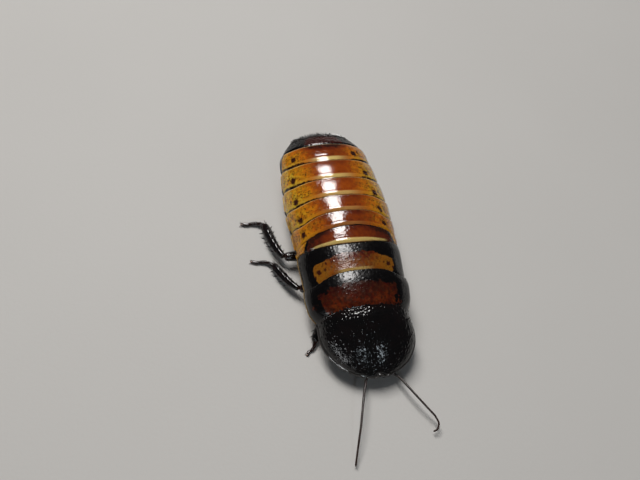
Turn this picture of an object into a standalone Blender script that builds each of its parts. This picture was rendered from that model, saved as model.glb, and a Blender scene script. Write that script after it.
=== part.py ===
"""An adult female Madagascar hissing cockroach, life size, standing with her legs tucked in.

Sizes are in millimetres and become metres as each mesh is made. Lengths along the body count
from the front edge of the pronotum towards the tail (+Y), the animal's right side is -X, and
the floor is z = 0. The last step moves everything so that the middle of the animal's box
stands over the origin.
"""

import math
import random

import bmesh
import bpy
import numpy as np
from mathutils import Matrix, Vector

MM = 0.001
GAP = 0.3
PLATE = 1.1
SHARP_DEG = 40

# The back is one smooth arch. Height of its side margin, height of its crown, half its width and
# how square its shoulders are, each at a distance from the front.
SIDE_HEIGHT = ((0.9, 3.9), (9.0, 5.05), (14.3, 5.8), (22.9, 6.35), (31.0, 6.55), (43.1, 6.65),
               (55.6, 7.2), (61.0, 7.5), (66.0, 7.9))
CROWN_HEIGHT = ((0.9, 4.5), (3.0, 6.6), (6.0, 8.9), (10.0, 11.2), (14.8, 12.9), (22.8, 14.1),
                (29.9, 14.6), (37.9, 15.4), (42.5, 15.3), (48.0, 14.9), (53.9, 14.3), (60.0, 13.2),
                (65.5, 10.7))
HALF_WIDTH = ((11.0, 10.9), (14.3, 10.8), (16.2, 11.8), (19.0, 12.2), (22.9, 12.2), (31.0, 12.3),
              (37.8, 12.6), (43.1, 12.8), (49.3, 12.4), (55.6, 11.7), (61.0, 10.6), (65.4, 7.0),
              (67.0, 5.2))
ARCH_POWER = ((16.0, 2.2), (40.0, 2.1), (62.0, 1.85))

# The pronotum is half an ellipse in front of its widest place, and turned a little to its left.
# Two low swellings stand on it: distance from the middle line, place along it, radius and height.
SHIELD_FRONT = 0.9
SHIELD_WIDEST = 11.0
SHIELD_START_DEG = 14
SHIELD_ROWS = 7
SHIELD_LIP = 1.2
SHIELD_TURN = 0.105
NECK = 14.3
SWELLING = (3.6, 6.0, 2.6, 0.6)

# The tail is turned a little to the animal's right behind the waist.
TAIL_TURN = 0.03
WAIST = 36.0

# The rear edge of each back plate: its place at the side margins and at the crown.
REAR_EDGES = {
    "pronotum": (14.3, 14.8),
    "mesonotum": (22.9, 22.8),
    "metanotum": (31.0, 29.6),
    "tergite_1": (32.0, 33.7),
    "tergite_2": (37.8, 37.9),
    "tergite_3": (43.1, 42.5),
    "tergite_4": (49.3, 48.0),
    "tergite_5": (55.6, 53.9),
    "tergite_6": (61.0, 60.0),
    "tergite_7": (65.4, 65.5),
}
# Each plate starts a little inside the arch and ends a little outside it, over the next one.
PLATE_SINK = 0.25
PLATE_RISE = 0.2
PLATE_ROWS = 3
PLATE_COLUMNS = 22
CORE_COLUMNS = 14
CORE_SLACK = 0.15

# The underside: the thorax floor that carries the coxae, and the belly with its sternites.
THORAX_ENDS = (7.8, 31.2)
THORAX_RINGS = 13
THORAX_FLOOR = ((7.8, 4.0), (16.0, 5.2), (31.2, 5.2))
THORAX_FLOOR_WIDTH = 7.4
BELLY_ENDS = (31.5, 64.2)
BELLY_FLOOR = ((31.5, 5.2), (36.6, 5.1), (41.5, 3.2), (50.0, 2.8), (58.0, 3.6), (64.2, 5.2))
BELLY_POWER = 2.6
BELLY_COLUMNS = 12
STERNITES = 7
STERNITE_STEP = 0.25
STERNITE_EDGE = 0.15

# Tail plates and feelers: rows of reach behind the belly, height and half width, or of reach,
# distance from the middle line and radius.
SUPRA_ANAL_PLATE = ((0.0, 8.1, 4.3), (1.6, 8.0, 4.0), (2.6, 7.9, 3.1), (3.2, 7.8, 1.6))
SUBGENITAL_PLATE = ((0.0, 6.0, 4.3), (1.2, 5.9, 3.9), (2.0, 5.9, 3.0), (2.5, 5.9, 1.6))
TAIL_PLATE = 1.0
TAIL_PLATE_SIDES = 16
CERCUS_HEIGHT = 7.0
CERCUS = ((0.0, 5.2, 0.5), (0.95, 5.55, 0.5), (1.9, 5.9, 0.36), (2.9, 6.3, 0.16))

# The head hangs under the pronotum. Its axis runs from the crown to the mouth.
HEAD_TOP = (0.0, 4.0, 5.8)
HEAD_END = (0.0, 6.0, 1.8)
HEAD_RINGS = ((0.0, 1.0, 0.7), (0.08, 2.1, 1.3), (0.25, 3.0, 1.75), (0.45, 3.3, 1.85),
              (0.65, 3.0, 1.7), (0.85, 2.3, 1.45), (1.0, 1.9, 1.15))
HEAD_SIDES = 18
EYE_PLACE = 0.38
EYE_TURN = 0.02
EYE_SIZE = (0.24, 0.095)
EYE_RIM = 0.22
EYE_BULGE = 0.45
EYE_CELLS = 8

# Mouthparts: rows of distance past the head's end, half width and half thickness.
LABRUM = ((0.0, 1.3, 0.35), (0.45, 1.15, 0.32), (0.85, 0.7, 0.25))
LABRUM_AHEAD = 0.62
MANDIBLE = ((0.0, 0.6, 0.35), (0.4, 0.55, 0.35), (0.75, 0.3, 0.25))
MANDIBLE_ASIDE = 0.95
MANDIBLE_BEHIND = 0.45
MANDIBLE_HOOK = 0.3
# Each palp: steps from its hinge, outwards first, and its radius there.
PALP_HINGE = (0.93, 0.34, 0.54)
PALP = ((0.0, 0.0, 0.0, 0.27), (0.9, 0.1, -0.35, 0.3), (1.4, -1.0, -0.9, 0.27), (1.2, -2.1, -1.15, 0.3))

# Each leg: coxa root, coxa end, knee, ankle and claw tip.
LEGS = {
    "front_right": ((-4.4, 8.8, 2.9), (-2.8, 14.6, 2.4), (-8.9, 16.0, 3.2),
                    (-10.9, 12.4, 1.1), (-12.9, 10.0, 0.0)),
    "middle_right": ((-5.0, 18.0, 3.9), (-2.9, 24.9, 2.7), (-12.5, 25.2, 3.5),
                     (-17.35, 33.6, 1.2), (-22.2, 35.4, 0.0)),
    "hind_right": ((-5.2, 27.0, 3.9), (-2.9, 34.2, 2.6), (-14.7, 34.1, 3.6),
                   (-17.9, 45.2, 1.3), (-23.2, 46.5, 0.0)),
    "front_left": ((4.8, 8.8, 2.9), (3.0, 14.6, 2.4), (8.6, 14.8, 3.2),
                   (10.2, 10.4, 1.1), (11.0, 6.9, 0.0)),
    "middle_left": ((5.0, 18.0, 3.9), (2.9, 24.9, 2.7), (11.0, 23.4, 3.4),
                    (12.7, 32.3, 1.2), (14.1, 37.2, 0.0)),
    "hind_left": ((5.2, 27.0, 3.9), (2.9, 34.2, 2.6), (11.0, 38.4, 3.5),
                  (12.6, 49.6, 1.3), (13.6, 55.0, 0.0)),
}
# Half width and half thickness at the root, middle and end of each length of leg, for a middle leg.
COXA_RADII = ((1.5, 0.85), (1.75, 1.0), (1.0, 0.8))
FEMUR_RADII = ((0.85, 0.8), (1.3, 1.05), (0.95, 0.85))
TIBIA_RADII = ((0.7, 0.7), (0.72, 0.66), (0.8, 0.66))
LEG_SCALE = {"front": 0.84, "middle": 1.0, "hind": 1.12}
SPINES = {"front": 8, "middle": 12, "hind": 16}
SPINE_SPAN = (0.14, 0.82)
SPINE_ROWS_DEG = (-20, 80, 200)
SPINE_JITTER_DEG = 12
SPINE_LENGTH = 1.35
SPINE_LEAN = (0.62, 0.75)
SPINE_ROOT = 0.2
SPINE_RADIUS = 0.27
SPINE_CLEARANCE = 0.25
TARSUS_RADII = (0.27, 0.4)
TARSOMERES = 5
TARSUS_SIDES = 8
TARSUS_DESCENT = 0.26
PAD = (0.35, 0.85)
SOLE_CUT = 0.03
CLAW_LENGTH = 1.1
CLAW_RADIUS = 0.25
CLAW_ROOT = 0.45
CLAW_SPLAY = 0.55
CLAW_CLEARANCE = 0.12

ANTENNAE = {
    "right": ((-1.8, 0.4, 3.05), (-3.0, -2.6, 3.5), (-4.0, -5.6, 3.6), (-4.9, -8.5, 3.3),
              (-5.8, -11.1, 2.7), (-6.6, -13.6, 1.9), (-7.4, -16.1, 1.0)),
    "left": ((6.1, 0.7, 3.0), (7.5, -1.9, 3.4), (8.9, -4.4, 3.5), (10.5, -6.9, 3.2),
             (12.0, -9.1, 2.6), (12.4, -10.5, 2.1), (11.8, -11.5, 1.6), (11.0, -11.7, 1.3)),
}
ANTENNA_RADII = (0.36, 0.25)
ANTENNA_SIDES = 6
ANTENNA_STEPS = 3
ANTENNA_SOCKET = (0.52, 0.075)

BLACK = ((0.018, 0.014, 0.014), 0.25)
MAHOGANY = ((0.12, 0.025, 0.012), 0.25)
AMBER = ((0.46, 0.20, 0.035), 0.2)
CHESTNUT = ((0.33, 0.10, 0.02), 0.2)
LEG_BROWN = ((0.035, 0.016, 0.01), 0.3)
FEELER = ((0.10, 0.035, 0.018), 0.4)
BELLY_BROWN = ((0.16, 0.06, 0.02), 0.3)
PLATE_LOOKS = {"pronotum": BLACK, "mesonotum": MAHOGANY, "metanotum": CHESTNUT, "tergite_7": BLACK}


def smooth(table, at):
    """A value of a table of (place, value) rows, on a curve with no corner at the rows."""
    places = np.array([row[0] for row in table], float)
    values = np.array([row[1] for row in table], float)
    slopes = np.gradient(values, places)
    at = min(max(at, places[0]), places[-1])
    k = min(int(np.searchsorted(places, at, "right")) - 1, len(places) - 2)
    span = places[k + 1] - places[k]
    t = (at - places[k]) / span
    return float(
        (2 * t**3 - 3 * t**2 + 1) * values[k]
        + (t**3 - 2 * t**2 + t) * span * slopes[k]
        + (3 * t**2 - 2 * t**3) * values[k + 1]
        + (t**3 - t**2) * span * slopes[k + 1]
    )


def half_width(y):
    if y >= SHIELD_WIDEST:
        return smooth(HALF_WIDTH, y)
    reach = (SHIELD_WIDEST - max(y, SHIELD_FRONT)) / (SHIELD_WIDEST - SHIELD_FRONT)
    return HALF_WIDTH[0][1] * math.sqrt(max(1 - reach**2, 0))


def arch_point(y, angle, depth=0.0):
    """A point of the back at length y, as far inside its surface as depth; angle 0 is the left margin."""
    side = smooth(SIDE_HEIGHT, y)
    rise = max(smooth(CROWN_HEIGHT, y) - side - depth, 0)
    across, up = math.cos(angle), math.sin(angle)
    power = 2 / smooth(ARCH_POWER, y)
    x = (half_width(y) - depth) * math.copysign(abs(across) ** power, across)
    return (x, y, side + rise * max(up, 0) ** power)


def bent(point):
    """The pronotum and the head lean to the animal's left of the line of the body, the tail to its right."""
    x, y, z = point
    return (x + SHIELD_TURN * max(NECK - y, 0) - TAIL_TURN * max(y - WAIST, 0), y, z)


def look(name, finish):
    colour, roughness = finish
    material = bpy.data.materials.new(name)
    material.use_nodes = True
    shader = material.node_tree.nodes["Principled BSDF"]
    shader.inputs["Base Color"].default_value = (*colour, 1)
    shader.inputs["Roughness"].default_value = roughness
    shader.inputs["Metallic"].default_value = 0
    return material


def add_node(name, vertices, faces, finish):
    mesh = bpy.data.meshes.new(name)
    mesh.from_pydata([tuple(c * MM for c in v) for v in vertices], [], faces)
    body = bmesh.new()
    body.from_mesh(mesh)
    bmesh.ops.recalc_face_normals(body, faces=body.faces)
    if body.calc_volume(signed=True) < 0:
        bmesh.ops.reverse_faces(body, faces=body.faces)
    bmesh.ops.triangulate(body, faces=body.faces)
    body.to_mesh(mesh)
    body.free()
    mesh.shade_smooth()
    mesh.set_sharp_from_angle(angle=math.radians(SHARP_DEG))
    mesh.materials.append(look(name, finish))
    node = bpy.data.objects.new(name, mesh)
    bpy.context.scene.collection.objects.link(node)
    return node


def shell(outer, inner):
    """Vertices and faces of a closed sheet between two grids of points with the same rows."""
    rows, columns = len(outer), len(outer[0])
    vertices = [p for grid in (outer, inner) for row in grid for p in row]
    base = rows * columns

    def at(layer, row, column):
        return layer * base + row * columns + column

    faces = []
    for row in range(rows - 1):
        for column in range(columns - 1):
            corners = ((row, column), (row, column + 1), (row + 1, column + 1), (row + 1, column))
            faces.append([at(0, *c) for c in corners])
            faces.append([at(1, *c) for c in reversed(corners)])
        for column in (0, columns - 1):
            faces.append([at(0, row, column), at(0, row + 1, column),
                          at(1, row + 1, column), at(1, row, column)])
    for column in range(columns - 1):
        for row in (0, rows - 1):
            faces.append([at(0, row, column), at(0, row, column + 1),
                          at(1, row, column + 1), at(1, row, column)])
    return vertices, faces


def loft(rings):
    """Vertices and faces of a closed solid through rings of points, each end closed by a fan."""
    sides = len(rings[0])
    vertices = [p for ring in rings for p in ring]
    faces = []
    for k in range(len(rings) - 1):
        for i in range(sides):
            j = (i + 1) % sides
            faces.append([k * sides + i, k * sides + j, (k + 1) * sides + j, (k + 1) * sides + i])
    for first, ring in ((0, rings[0]), ((len(rings) - 1) * sides, rings[-1])):
        vertices.append(tuple(np.mean(np.array(ring, float), axis=0)))
        for i in range(sides):
            faces.append([first + i, first + (i + 1) % sides, len(vertices) - 1])
    return vertices, faces


def plate_edge(name):
    """The rear edge of a plate as a function of how far a point is across the back."""
    side, crown = REAR_EDGES[name]
    return lambda angle: side + (crown - side) * (1 - math.cos(angle) ** 2)


def plate_grid(front, rear, rows, depth_at):
    """Rows of points of a plate between two edges; depth_at gives its depth at a share of the way."""
    grid = []
    for row in range(rows + 1):
        share = row / rows
        line = []
        for column in range(PLATE_COLUMNS + 1):
            angle = math.pi * column / PLATE_COLUMNS
            y = front(angle) + (rear(angle) - front(angle)) * share
            line.append(bent(arch_point(y, angle, depth_at(share))))
        grid.append(line)
    return grid


def swollen(point):
    """Raises a point of the pronotum where one of its two swellings is."""
    x, y, z = point
    aside, along, radius, height = SWELLING
    middle = bent((0, y, z))[0]
    reach = ((abs(x - middle) - aside) ** 2 + (y - along) ** 2) / radius**2
    return (x, y, z + height * math.exp(-reach))


def make_pronotum():
    """The shield over the head. Its front rows are evenly spread round its half ellipse."""
    start = math.radians(SHIELD_START_DEG)
    length = SHIELD_WIDEST - SHIELD_FRONT

    def grid(lip, depth):
        lines = []
        for k in range(SHIELD_ROWS):
            share = k / SHIELD_ROWS
            turn = start + (math.pi / 2 - start) * share
            y = SHIELD_WIDEST - length * math.cos(turn) + lip * (1 - share)
            lines += plate_grid(lambda angle, y=y: y, lambda angle, y=y: y, 1, lambda v: depth)[:1]
        return lines + plate_grid(lambda angle: SHIELD_WIDEST, plate_edge("pronotum"), 2, lambda v: depth)

    outer = [[swollen(p) for p in line] for line in grid(0, 0)]
    add_node("pronotum", *shell(outer, grid(SHIELD_LIP, PLATE)), BLACK)


def make_plates():
    names = list(REAR_EDGES)
    for before, name in zip(names, names[1:]):
        ahead, rear = plate_edge(before), plate_edge(name)

        def front(angle, ahead=ahead):
            return ahead(angle) + GAP

        outer = plate_grid(front, rear, PLATE_ROWS, lambda v: PLATE_SINK - (PLATE_SINK + PLATE_RISE) * v)
        inner = plate_grid(front, rear, PLATE_ROWS, lambda v: PLATE)
        add_node(name, *shell(outer, inner), PLATE_LOOKS.get(name, AMBER))


def core_top(y):
    """The upper half of a ring of the body under its plates."""
    depth = PLATE + GAP + CORE_SLACK
    return [arch_point(y, math.pi * c / CORE_COLUMNS, depth) for c in range(CORE_COLUMNS + 1)]


def make_thorax():
    rings = []
    for y in np.linspace(*THORAX_ENDS, THORAX_RINGS):
        side = smooth(SIDE_HEIGHT, y)
        floor = smooth(THORAX_FLOOR, y)
        wide = half_width(y) - PLATE - GAP
        under = [(-wide, y, side - GAP), (-THORAX_FLOOR_WIDTH, y, floor),
                 (0, y, floor), (THORAX_FLOOR_WIDTH, y, floor), (wide, y, side - GAP)]
        rings.append([bent(p) for p in core_top(y) + under])
    add_node("thorax", *loft(rings), BELLY_BROWN)


def make_abdomen():
    start, end = BELLY_ENDS
    length = (end - start) / STERNITES
    rings = []
    for k in range(STERNITES):
        front = start + k * length
        for y, proud in ((front + (STERNITE_EDGE if k else 0), 0), (front + length, STERNITE_STEP)):
            side = smooth(SIDE_HEIGHT, y) - GAP
            depth = side - smooth(BELLY_FLOOR, y) - STERNITE_STEP + proud
            wide = half_width(y) - PLATE + GAP + proud / 2
            under = []
            for column in range(1, BELLY_COLUMNS):
                angle = math.pi * column / BELLY_COLUMNS
                across = -math.cos(angle)
                under.append((wide * math.copysign(abs(across) ** (2 / BELLY_POWER), across), y,
                              side - depth * math.sin(angle) ** (2 / BELLY_POWER)))
            inner = half_width(y) - PLATE - GAP
            ends = [(-inner, y, side), (-wide, y, side)], [(wide, y, side), (inner, y, side)]
            rings.append([bent(p) for p in core_top(y) + ends[0] + under + ends[1]])
    add_node("abdomen", *loft(rings), BELLY_BROWN)


def tail_plate(name, rows, finish):
    """A flat plate with a rounded end, behind the belly."""
    rings = []
    for reach, z, wide in rows:
        ring = []
        for i in range(TAIL_PLATE_SIDES):
            angle = 2 * math.pi * i / TAIL_PLATE_SIDES
            y = BELLY_ENDS[1] + GAP + reach
            ring.append(bent((wide * math.cos(angle), y, z + TAIL_PLATE / 2 * math.sin(angle))))
        rings.append(ring)
    add_node(name, *loft(rings), finish)


def head_ring(place):
    """Centre, half width, half depth at a share of the way from the crown to the mouth."""
    centre = Vector(HEAD_TOP).lerp(Vector(HEAD_END), place)
    wide = smooth([(r[0], r[1]) for r in HEAD_RINGS], place)
    deep = smooth([(r[0], r[2]) for r in HEAD_RINGS], place)
    return centre, wide, deep


def head_axes():
    """The way from the crown to the mouth, and the way its face looks."""
    axis = (Vector(HEAD_END) - Vector(HEAD_TOP)).normalized()
    return axis, axis.cross(Vector((1, 0, 0)))


def head_point(place, turn, proud=0.0):
    """A point of the head, or so far outside it; turn counts in whole turns from its left side,
    a quarter being its face."""
    centre, wide, deep = head_ring(place)
    angle = 2 * math.pi * turn
    return tuple(centre + Vector((1, 0, 0)) * (wide + proud) * math.cos(angle)
                 + head_axes()[1] * (deep + proud) * math.sin(angle))


def make_head():
    rings = [[bent(head_point(r[0], i / HEAD_SIDES)) for i in range(HEAD_SIDES)] for r in HEAD_RINGS]
    add_node("head", *loft(rings), MAHOGANY)
    for side, middle in (("left", EYE_TURN), ("right", 0.5 - EYE_TURN)):
        outer, inner = [], []
        for up in np.linspace(-1, 1, EYE_CELLS + 1):
            cornea, root = [], []
            for over in np.linspace(-1, 1, EYE_CELLS + 1):
                bulge = math.sqrt((1 - up**2) * (1 - over**2))
                place = EYE_PLACE + EYE_SIZE[0] * up
                turn = middle + EYE_SIZE[1] * over
                cornea.append(bent(head_point(place, turn, GAP + EYE_RIM + EYE_BULGE * bulge)))
                root.append(bent(head_point(place, turn, GAP)))
            outer.append(cornea)
            inner.append(root)
        add_node("eye_" + side, *shell(outer, inner), BLACK)


def frame_of(direction):
    """Two directions square to this one: level, and upright."""
    along = Vector(direction).normalized()
    level = along.cross(Vector((0, 0, 1)))
    if level.length < 1e-6:
        level = Vector((1, 0, 0))
    level.normalize()
    return along, level, level.cross(along)


def tube_rings(path, radii, sides, start=None, end=None, floor=None):
    """Rings along a path. start and end are (point, normal) planes that the ends are cut square to."""
    points = [Vector(p) for p in path]
    rings = []
    for k, point in enumerate(points):
        ahead = points[min(k + 1, len(points) - 1)] - points[max(k - 1, 0)]
        along, level, upright = frame_of(ahead)
        wide, deep = radii[k]
        ring = []
        for i in range(sides):
            angle = 2 * math.pi * (i + 0.5) / sides
            spot = point + level * wide * math.cos(angle) + upright * deep * math.sin(angle)
            for plane, keep in ((start, 1), (end, -1)):
                if plane is None:
                    continue
                place, normal = plane
                short = keep * (spot - Vector(place)).dot(normal) - GAP / 2
                if short < 0 or (k == 0 and keep == 1) or (k == len(points) - 1 and keep == -1):
                    spot = spot - along * keep * short / along.dot(normal)
            if floor is not None:
                spot.z = max(spot.z, floor)
            ring.append(tuple(spot))
        rings.append(ring)
    return rings


def mitre(before, joint, after):
    """The plane that halves the bend at a joint."""
    first = (Vector(joint) - Vector(before)).normalized()
    second = (Vector(after) - Vector(joint)).normalized()
    return joint, (first + second).normalized()


def spread(sizes, count):
    """Root, middle and end sizes spread over count rings."""
    wide = [(share, size[0]) for share, size in zip((0, 0.5, 1), sizes)]
    deep = [(share, size[1]) for share, size in zip((0, 0.5, 1), sizes)]
    return [(smooth(wide, share), smooth(deep, share)) for share in np.linspace(0, 1, count)]


def straight(a, b, count):
    return [a.lerp(b, share) for share in np.linspace(0, 1, count)]


def cone(root, tip, radius, sides=4):
    """A spine: a short tapering piece with a fine end, its root sunk into what it grows from."""
    along, level, upright = frame_of(Vector(tip) - Vector(root))
    vertices = []
    for i in range(sides):
        angle = 2 * math.pi * i / sides
        vertices.append(tuple(Vector(root) + level * radius * math.cos(angle)
                              + upright * radius * math.sin(angle)))
    vertices.append(tuple(tip))
    faces = [list(range(sides))] + [[i, (i + 1) % sides, sides] for i in range(sides)]
    return vertices, faces


def largest_surface(mesh):
    """Keeps only the biggest closed surface of a mesh."""
    body = bmesh.new()
    body.from_mesh(mesh)
    left = set(body.verts)
    groups = []
    while left:
        group, waiting = set(), [left.pop()]
        while waiting:
            vertex = waiting.pop()
            group.add(vertex)
            for edge in vertex.link_edges:
                other = edge.other_vert(vertex)
                if other in left:
                    left.remove(other)
                    waiting.append(other)
        groups.append(group)
    groups.sort(key=len)
    for group in groups[:-1]:
        bmesh.ops.delete(body, geom=list(group), context="VERTS")
    body.to_mesh(mesh)
    body.free()


def fuse(node, pieces):
    """Joins closed pieces to a node by one Boolean union."""
    extras = bpy.data.collections.new(node.name + "_pieces")
    bpy.context.scene.collection.children.link(extras)
    for number, (vertices, faces) in enumerate(pieces):
        piece = add_node(f"{node.name}_piece_{number}", vertices, faces, LEG_BROWN)
        bpy.context.scene.collection.objects.unlink(piece)
        extras.objects.link(piece)
    union = node.modifiers.new("union", "BOOLEAN")
    union.operation = "UNION"
    union.operand_type = "COLLECTION"
    union.collection = extras
    union.solver = "EXACT"
    graph = bpy.context.evaluated_depsgraph_get()
    joined = bpy.data.meshes.new_from_object(node.evaluated_get(graph))
    node.modifiers.remove(union)
    finish = node.data.materials[0]
    node.data = joined
    joined.materials.clear()
    joined.materials.append(finish)
    largest_surface(joined)
    joined.shade_smooth()
    joined.set_sharp_from_angle(angle=math.radians(SHARP_DEG))
    for piece in list(extras.objects):
        bpy.data.objects.remove(piece)
    bpy.data.collections.remove(extras)


def spines_of(pair, path, radii, draw):
    """Spines in three rows down a tibia, leaning towards its end."""
    pieces = []
    along, level, upright = frame_of(path[-1] - path[0])
    thickness = max(radii[len(radii) // 2])
    outwards, onwards = SPINE_LEAN
    for k, share in enumerate(np.linspace(*SPINE_SPAN, SPINES[pair])):
        centre = path[0].lerp(path[-1], share)
        row = SPINE_ROWS_DEG[k % len(SPINE_ROWS_DEG)]
        turn = math.radians(row + draw.uniform(-SPINE_JITTER_DEG, SPINE_JITTER_DEG))
        out = level * math.cos(turn) + upright * math.sin(turn)
        reach = SPINE_LENGTH * LEG_SCALE[pair] * draw.uniform(0.85, 1.15)
        tip = centre + out * (thickness + outwards * reach) + along * onwards * reach
        tip.z = max(tip.z, SPINE_CLEARANCE)
        pieces.append(cone(centre + out * SPINE_ROOT, tip, SPINE_RADIUS))
    return pieces


def make_leg(name, places, draw):
    """One leg: coxa, femur and tibia cut square to each other at the joints, and the foot."""
    pair = name.split("_")[0]
    size = LEG_SCALE[pair]
    root, trochanter, knee, ankle, tip = (Vector(p) for p in places)

    def length(part, start, end, radii, count, sides, cut_start, cut_end):
        path = straight(start, end, count)
        sizes = spread([(wide * size, deep * size) for wide, deep in radii], count)
        rings = tube_rings(path, sizes, sides, cut_start, cut_end)
        return add_node(f"{part}_{name}", *loft(rings), LEG_BROWN), path, sizes

    hip = mitre(root, trochanter, knee)
    bend = mitre(trochanter, knee, ankle)
    foot = mitre(knee, ankle, tip)
    length("coxa", root, trochanter, COXA_RADII, 6, 12, None, hip)
    length("femur", trochanter, knee, FEMUR_RADII, 7, 10, hip, bend)
    tibia, path, sizes = length("tibia", knee, ankle, TIBIA_RADII, 7, 8, bend, foot)
    fuse(tibia, spines_of(pair, path, sizes, draw))
    make_tarsus(name, size, ankle, tip, foot)


def make_tarsus(name, size, ankle, tip, foot):
    """The foot: joints that are thick at their pads, which stand flat on the floor, and two claws."""
    thin, thick = (r * size for r in TARSUS_RADII)
    rest = thick * math.cos(math.pi / TARSUS_SIDES) - SOLE_CUT
    steps = [((k + place) / TARSOMERES, thin if place == 0 else thick)
             for k in range(TARSOMERES) for place in (0, *PAD)] + [(1, thin)]
    path, sizes = [], []
    for share, radius in steps:
        point = ankle.lerp(tip, share)
        drop = max(1 - share / TARSUS_DESCENT, 0)
        path.append(Vector((point.x, point.y, rest + (ankle.z - rest) * drop)))
        sizes.append((radius, radius))
    rings = tube_rings(path, sizes, TARSUS_SIDES, foot, None, 0.0)
    tarsus = add_node(f"tarsus_{name}", *loft(rings), LEG_BROWN)
    along, level, _ = frame_of(path[-1] - path[-2])
    claws = []
    for side in (-1, 1):
        root = path[-1] - along * CLAW_ROOT
        end = root + (along * CLAW_LENGTH + level * side * CLAW_SPLAY) * size
        end.z = CLAW_CLEARANCE
        claws.append(cone(root, end, CLAW_RADIUS))
    fuse(tarsus, claws)


def make_antenna(side, places):
    """A feeler along a curve through its places, cut square to the head at its root."""
    turn = 0.25 + ANTENNA_SOCKET[1] * (-1 if side == "left" else 1)
    socket = Vector(bent(head_point(ANTENNA_SOCKET[0], turn)))
    outward = Vector(bent(head_point(ANTENNA_SOCKET[0], turn, 1))) - socket
    outward.normalize()
    route = [socket + outward * GAP] + [Vector(p) for p in places]
    path = []
    for k in range(len(route) - 1):
        before, a = route[max(k - 1, 0)], route[k]
        b, after = route[k + 1], route[min(k + 2, len(route) - 1)]
        for t in np.arange(ANTENNA_STEPS) / ANTENNA_STEPS:
            path.append(0.5 * (2 * a + (b - before) * t + (2 * before - 5 * a + 4 * b - after) * t**2
                               + (3 * a - before - 3 * b + after) * t**3))
    path.append(route[-1])
    sizes = [(radius, radius) for radius in np.linspace(*ANTENNA_RADII, len(path))]
    root = (socket + outward * GAP * 0.7, outward)
    add_node(f"antenna_{side}", *loft(tube_rings(path, sizes, ANTENNA_SIDES, root)), FEELER)


def make_mouthparts():
    """The labrum in front, a pair of mandibles behind it and a pair of palps at the sides."""
    axis, face = head_axes()
    start = Vector(HEAD_END) + axis * GAP

    def mouthpart(name, path, sizes, sides, finish):
        rings = tube_rings(path, sizes, sides)
        add_node(name, *loft([[bent(p) for p in ring] for ring in rings]), finish)

    lip = start + face * LABRUM_AHEAD
    mouthpart("labrum", [lip + axis * row[0] for row in LABRUM], [row[1:] for row in LABRUM], 10, MAHOGANY)
    for side, sign in (("left", 1), ("right", -1)):
        aside = Vector((sign, 0, 0))
        root = start + aside * MANDIBLE_ASIDE - face * MANDIBLE_BEHIND
        path = [root + axis * row[0] for row in MANDIBLE]
        path[-1] -= aside * MANDIBLE_HOOK
        mouthpart("mandible_" + side, path, [row[1:] for row in MANDIBLE], 8, BLACK)
        place, turn, proud = PALP_HINGE
        hinge = Vector(head_point(place, 0.25 - sign * turn, proud))
        path = [hinge + Vector((sign * out, y, z)) for out, y, z, radius in PALP]
        mouthpart("palp_" + side, path, [(row[3], row[3]) for row in PALP], 6, FEELER)


def make_tail():
    tail_plate("supra_anal_plate", SUPRA_ANAL_PLATE, BLACK)
    tail_plate("subgenital_plate", SUBGENITAL_PLATE, BELLY_BROWN)
    end = BELLY_ENDS[1]
    for side, sign in (("left", 1), ("right", -1)):
        path = [Vector(bent((sign * x, end + GAP + reach, CERCUS_HEIGHT))) for reach, x, radius in CERCUS]
        rings = tube_rings(path, [(row[2], row[2]) for row in CERCUS], 8,
                           (Vector((0, end + GAP / 2, 0)), Vector((0, 1, 0))))
        add_node("cercus_" + side, *loft(rings), LEG_BROWN)


def stand_over_origin():
    """Moves the meshes so that the middle of the whole box is over the origin and the soles are at z = 0."""
    nodes = [o for o in bpy.context.scene.objects if o.type == "MESH"]
    corners = np.array([v.co for o in nodes for v in o.data.vertices])
    low, high = corners.min(axis=0), corners.max(axis=0)
    shift = Vector((-(low[0] + high[0]) / 2, -(low[1] + high[1]) / 2, -low[2]))
    for node in nodes:
        node.data.transform(Matrix.Translation(shift))


def main():
    for old in list(bpy.data.objects):
        bpy.data.objects.remove(old)
    draw = random.Random(7)
    make_pronotum()
    make_plates()
    make_thorax()
    make_abdomen()
    make_tail()
    make_head()
    make_mouthparts()
    for side, places in ANTENNAE.items():
        make_antenna(side, places)
    for name, places in LEGS.items():
        make_leg(name, places, draw)
    stand_over_origin()


main()
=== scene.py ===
"""Fine skins, shell plates, spines and finishes of a life-size Madagascar hissing cockroach.

Lengths are millimetres in the body's own frame, as in the solids: y runs from the
front edge of the pronotum towards the tail, +x is the animal's left and the floor is z = 0.
Across the back, u goes from -1 at the right margin to 1 at the left one, and v goes from 0 at the
rear edge of the plate in front to 1 at the plate's own rear edge.
"""

import functools
import math

import bpy
import numpy as np
from mathutils import Matrix, Vector


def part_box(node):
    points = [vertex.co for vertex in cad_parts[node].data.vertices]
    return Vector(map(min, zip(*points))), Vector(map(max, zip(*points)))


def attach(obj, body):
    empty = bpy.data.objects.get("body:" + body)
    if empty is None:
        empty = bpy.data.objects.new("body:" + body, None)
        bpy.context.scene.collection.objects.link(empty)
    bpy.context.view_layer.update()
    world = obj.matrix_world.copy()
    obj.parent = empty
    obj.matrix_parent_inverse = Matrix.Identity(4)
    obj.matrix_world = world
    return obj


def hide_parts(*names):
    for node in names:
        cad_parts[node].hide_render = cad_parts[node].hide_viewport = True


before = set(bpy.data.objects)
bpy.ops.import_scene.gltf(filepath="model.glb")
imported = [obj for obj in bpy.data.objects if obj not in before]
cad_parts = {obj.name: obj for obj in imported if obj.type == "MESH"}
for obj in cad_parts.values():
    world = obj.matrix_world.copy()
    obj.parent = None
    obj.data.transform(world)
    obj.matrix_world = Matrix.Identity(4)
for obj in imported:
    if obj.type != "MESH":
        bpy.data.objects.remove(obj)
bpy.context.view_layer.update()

MM = 0.001
SEED = 11
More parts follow.
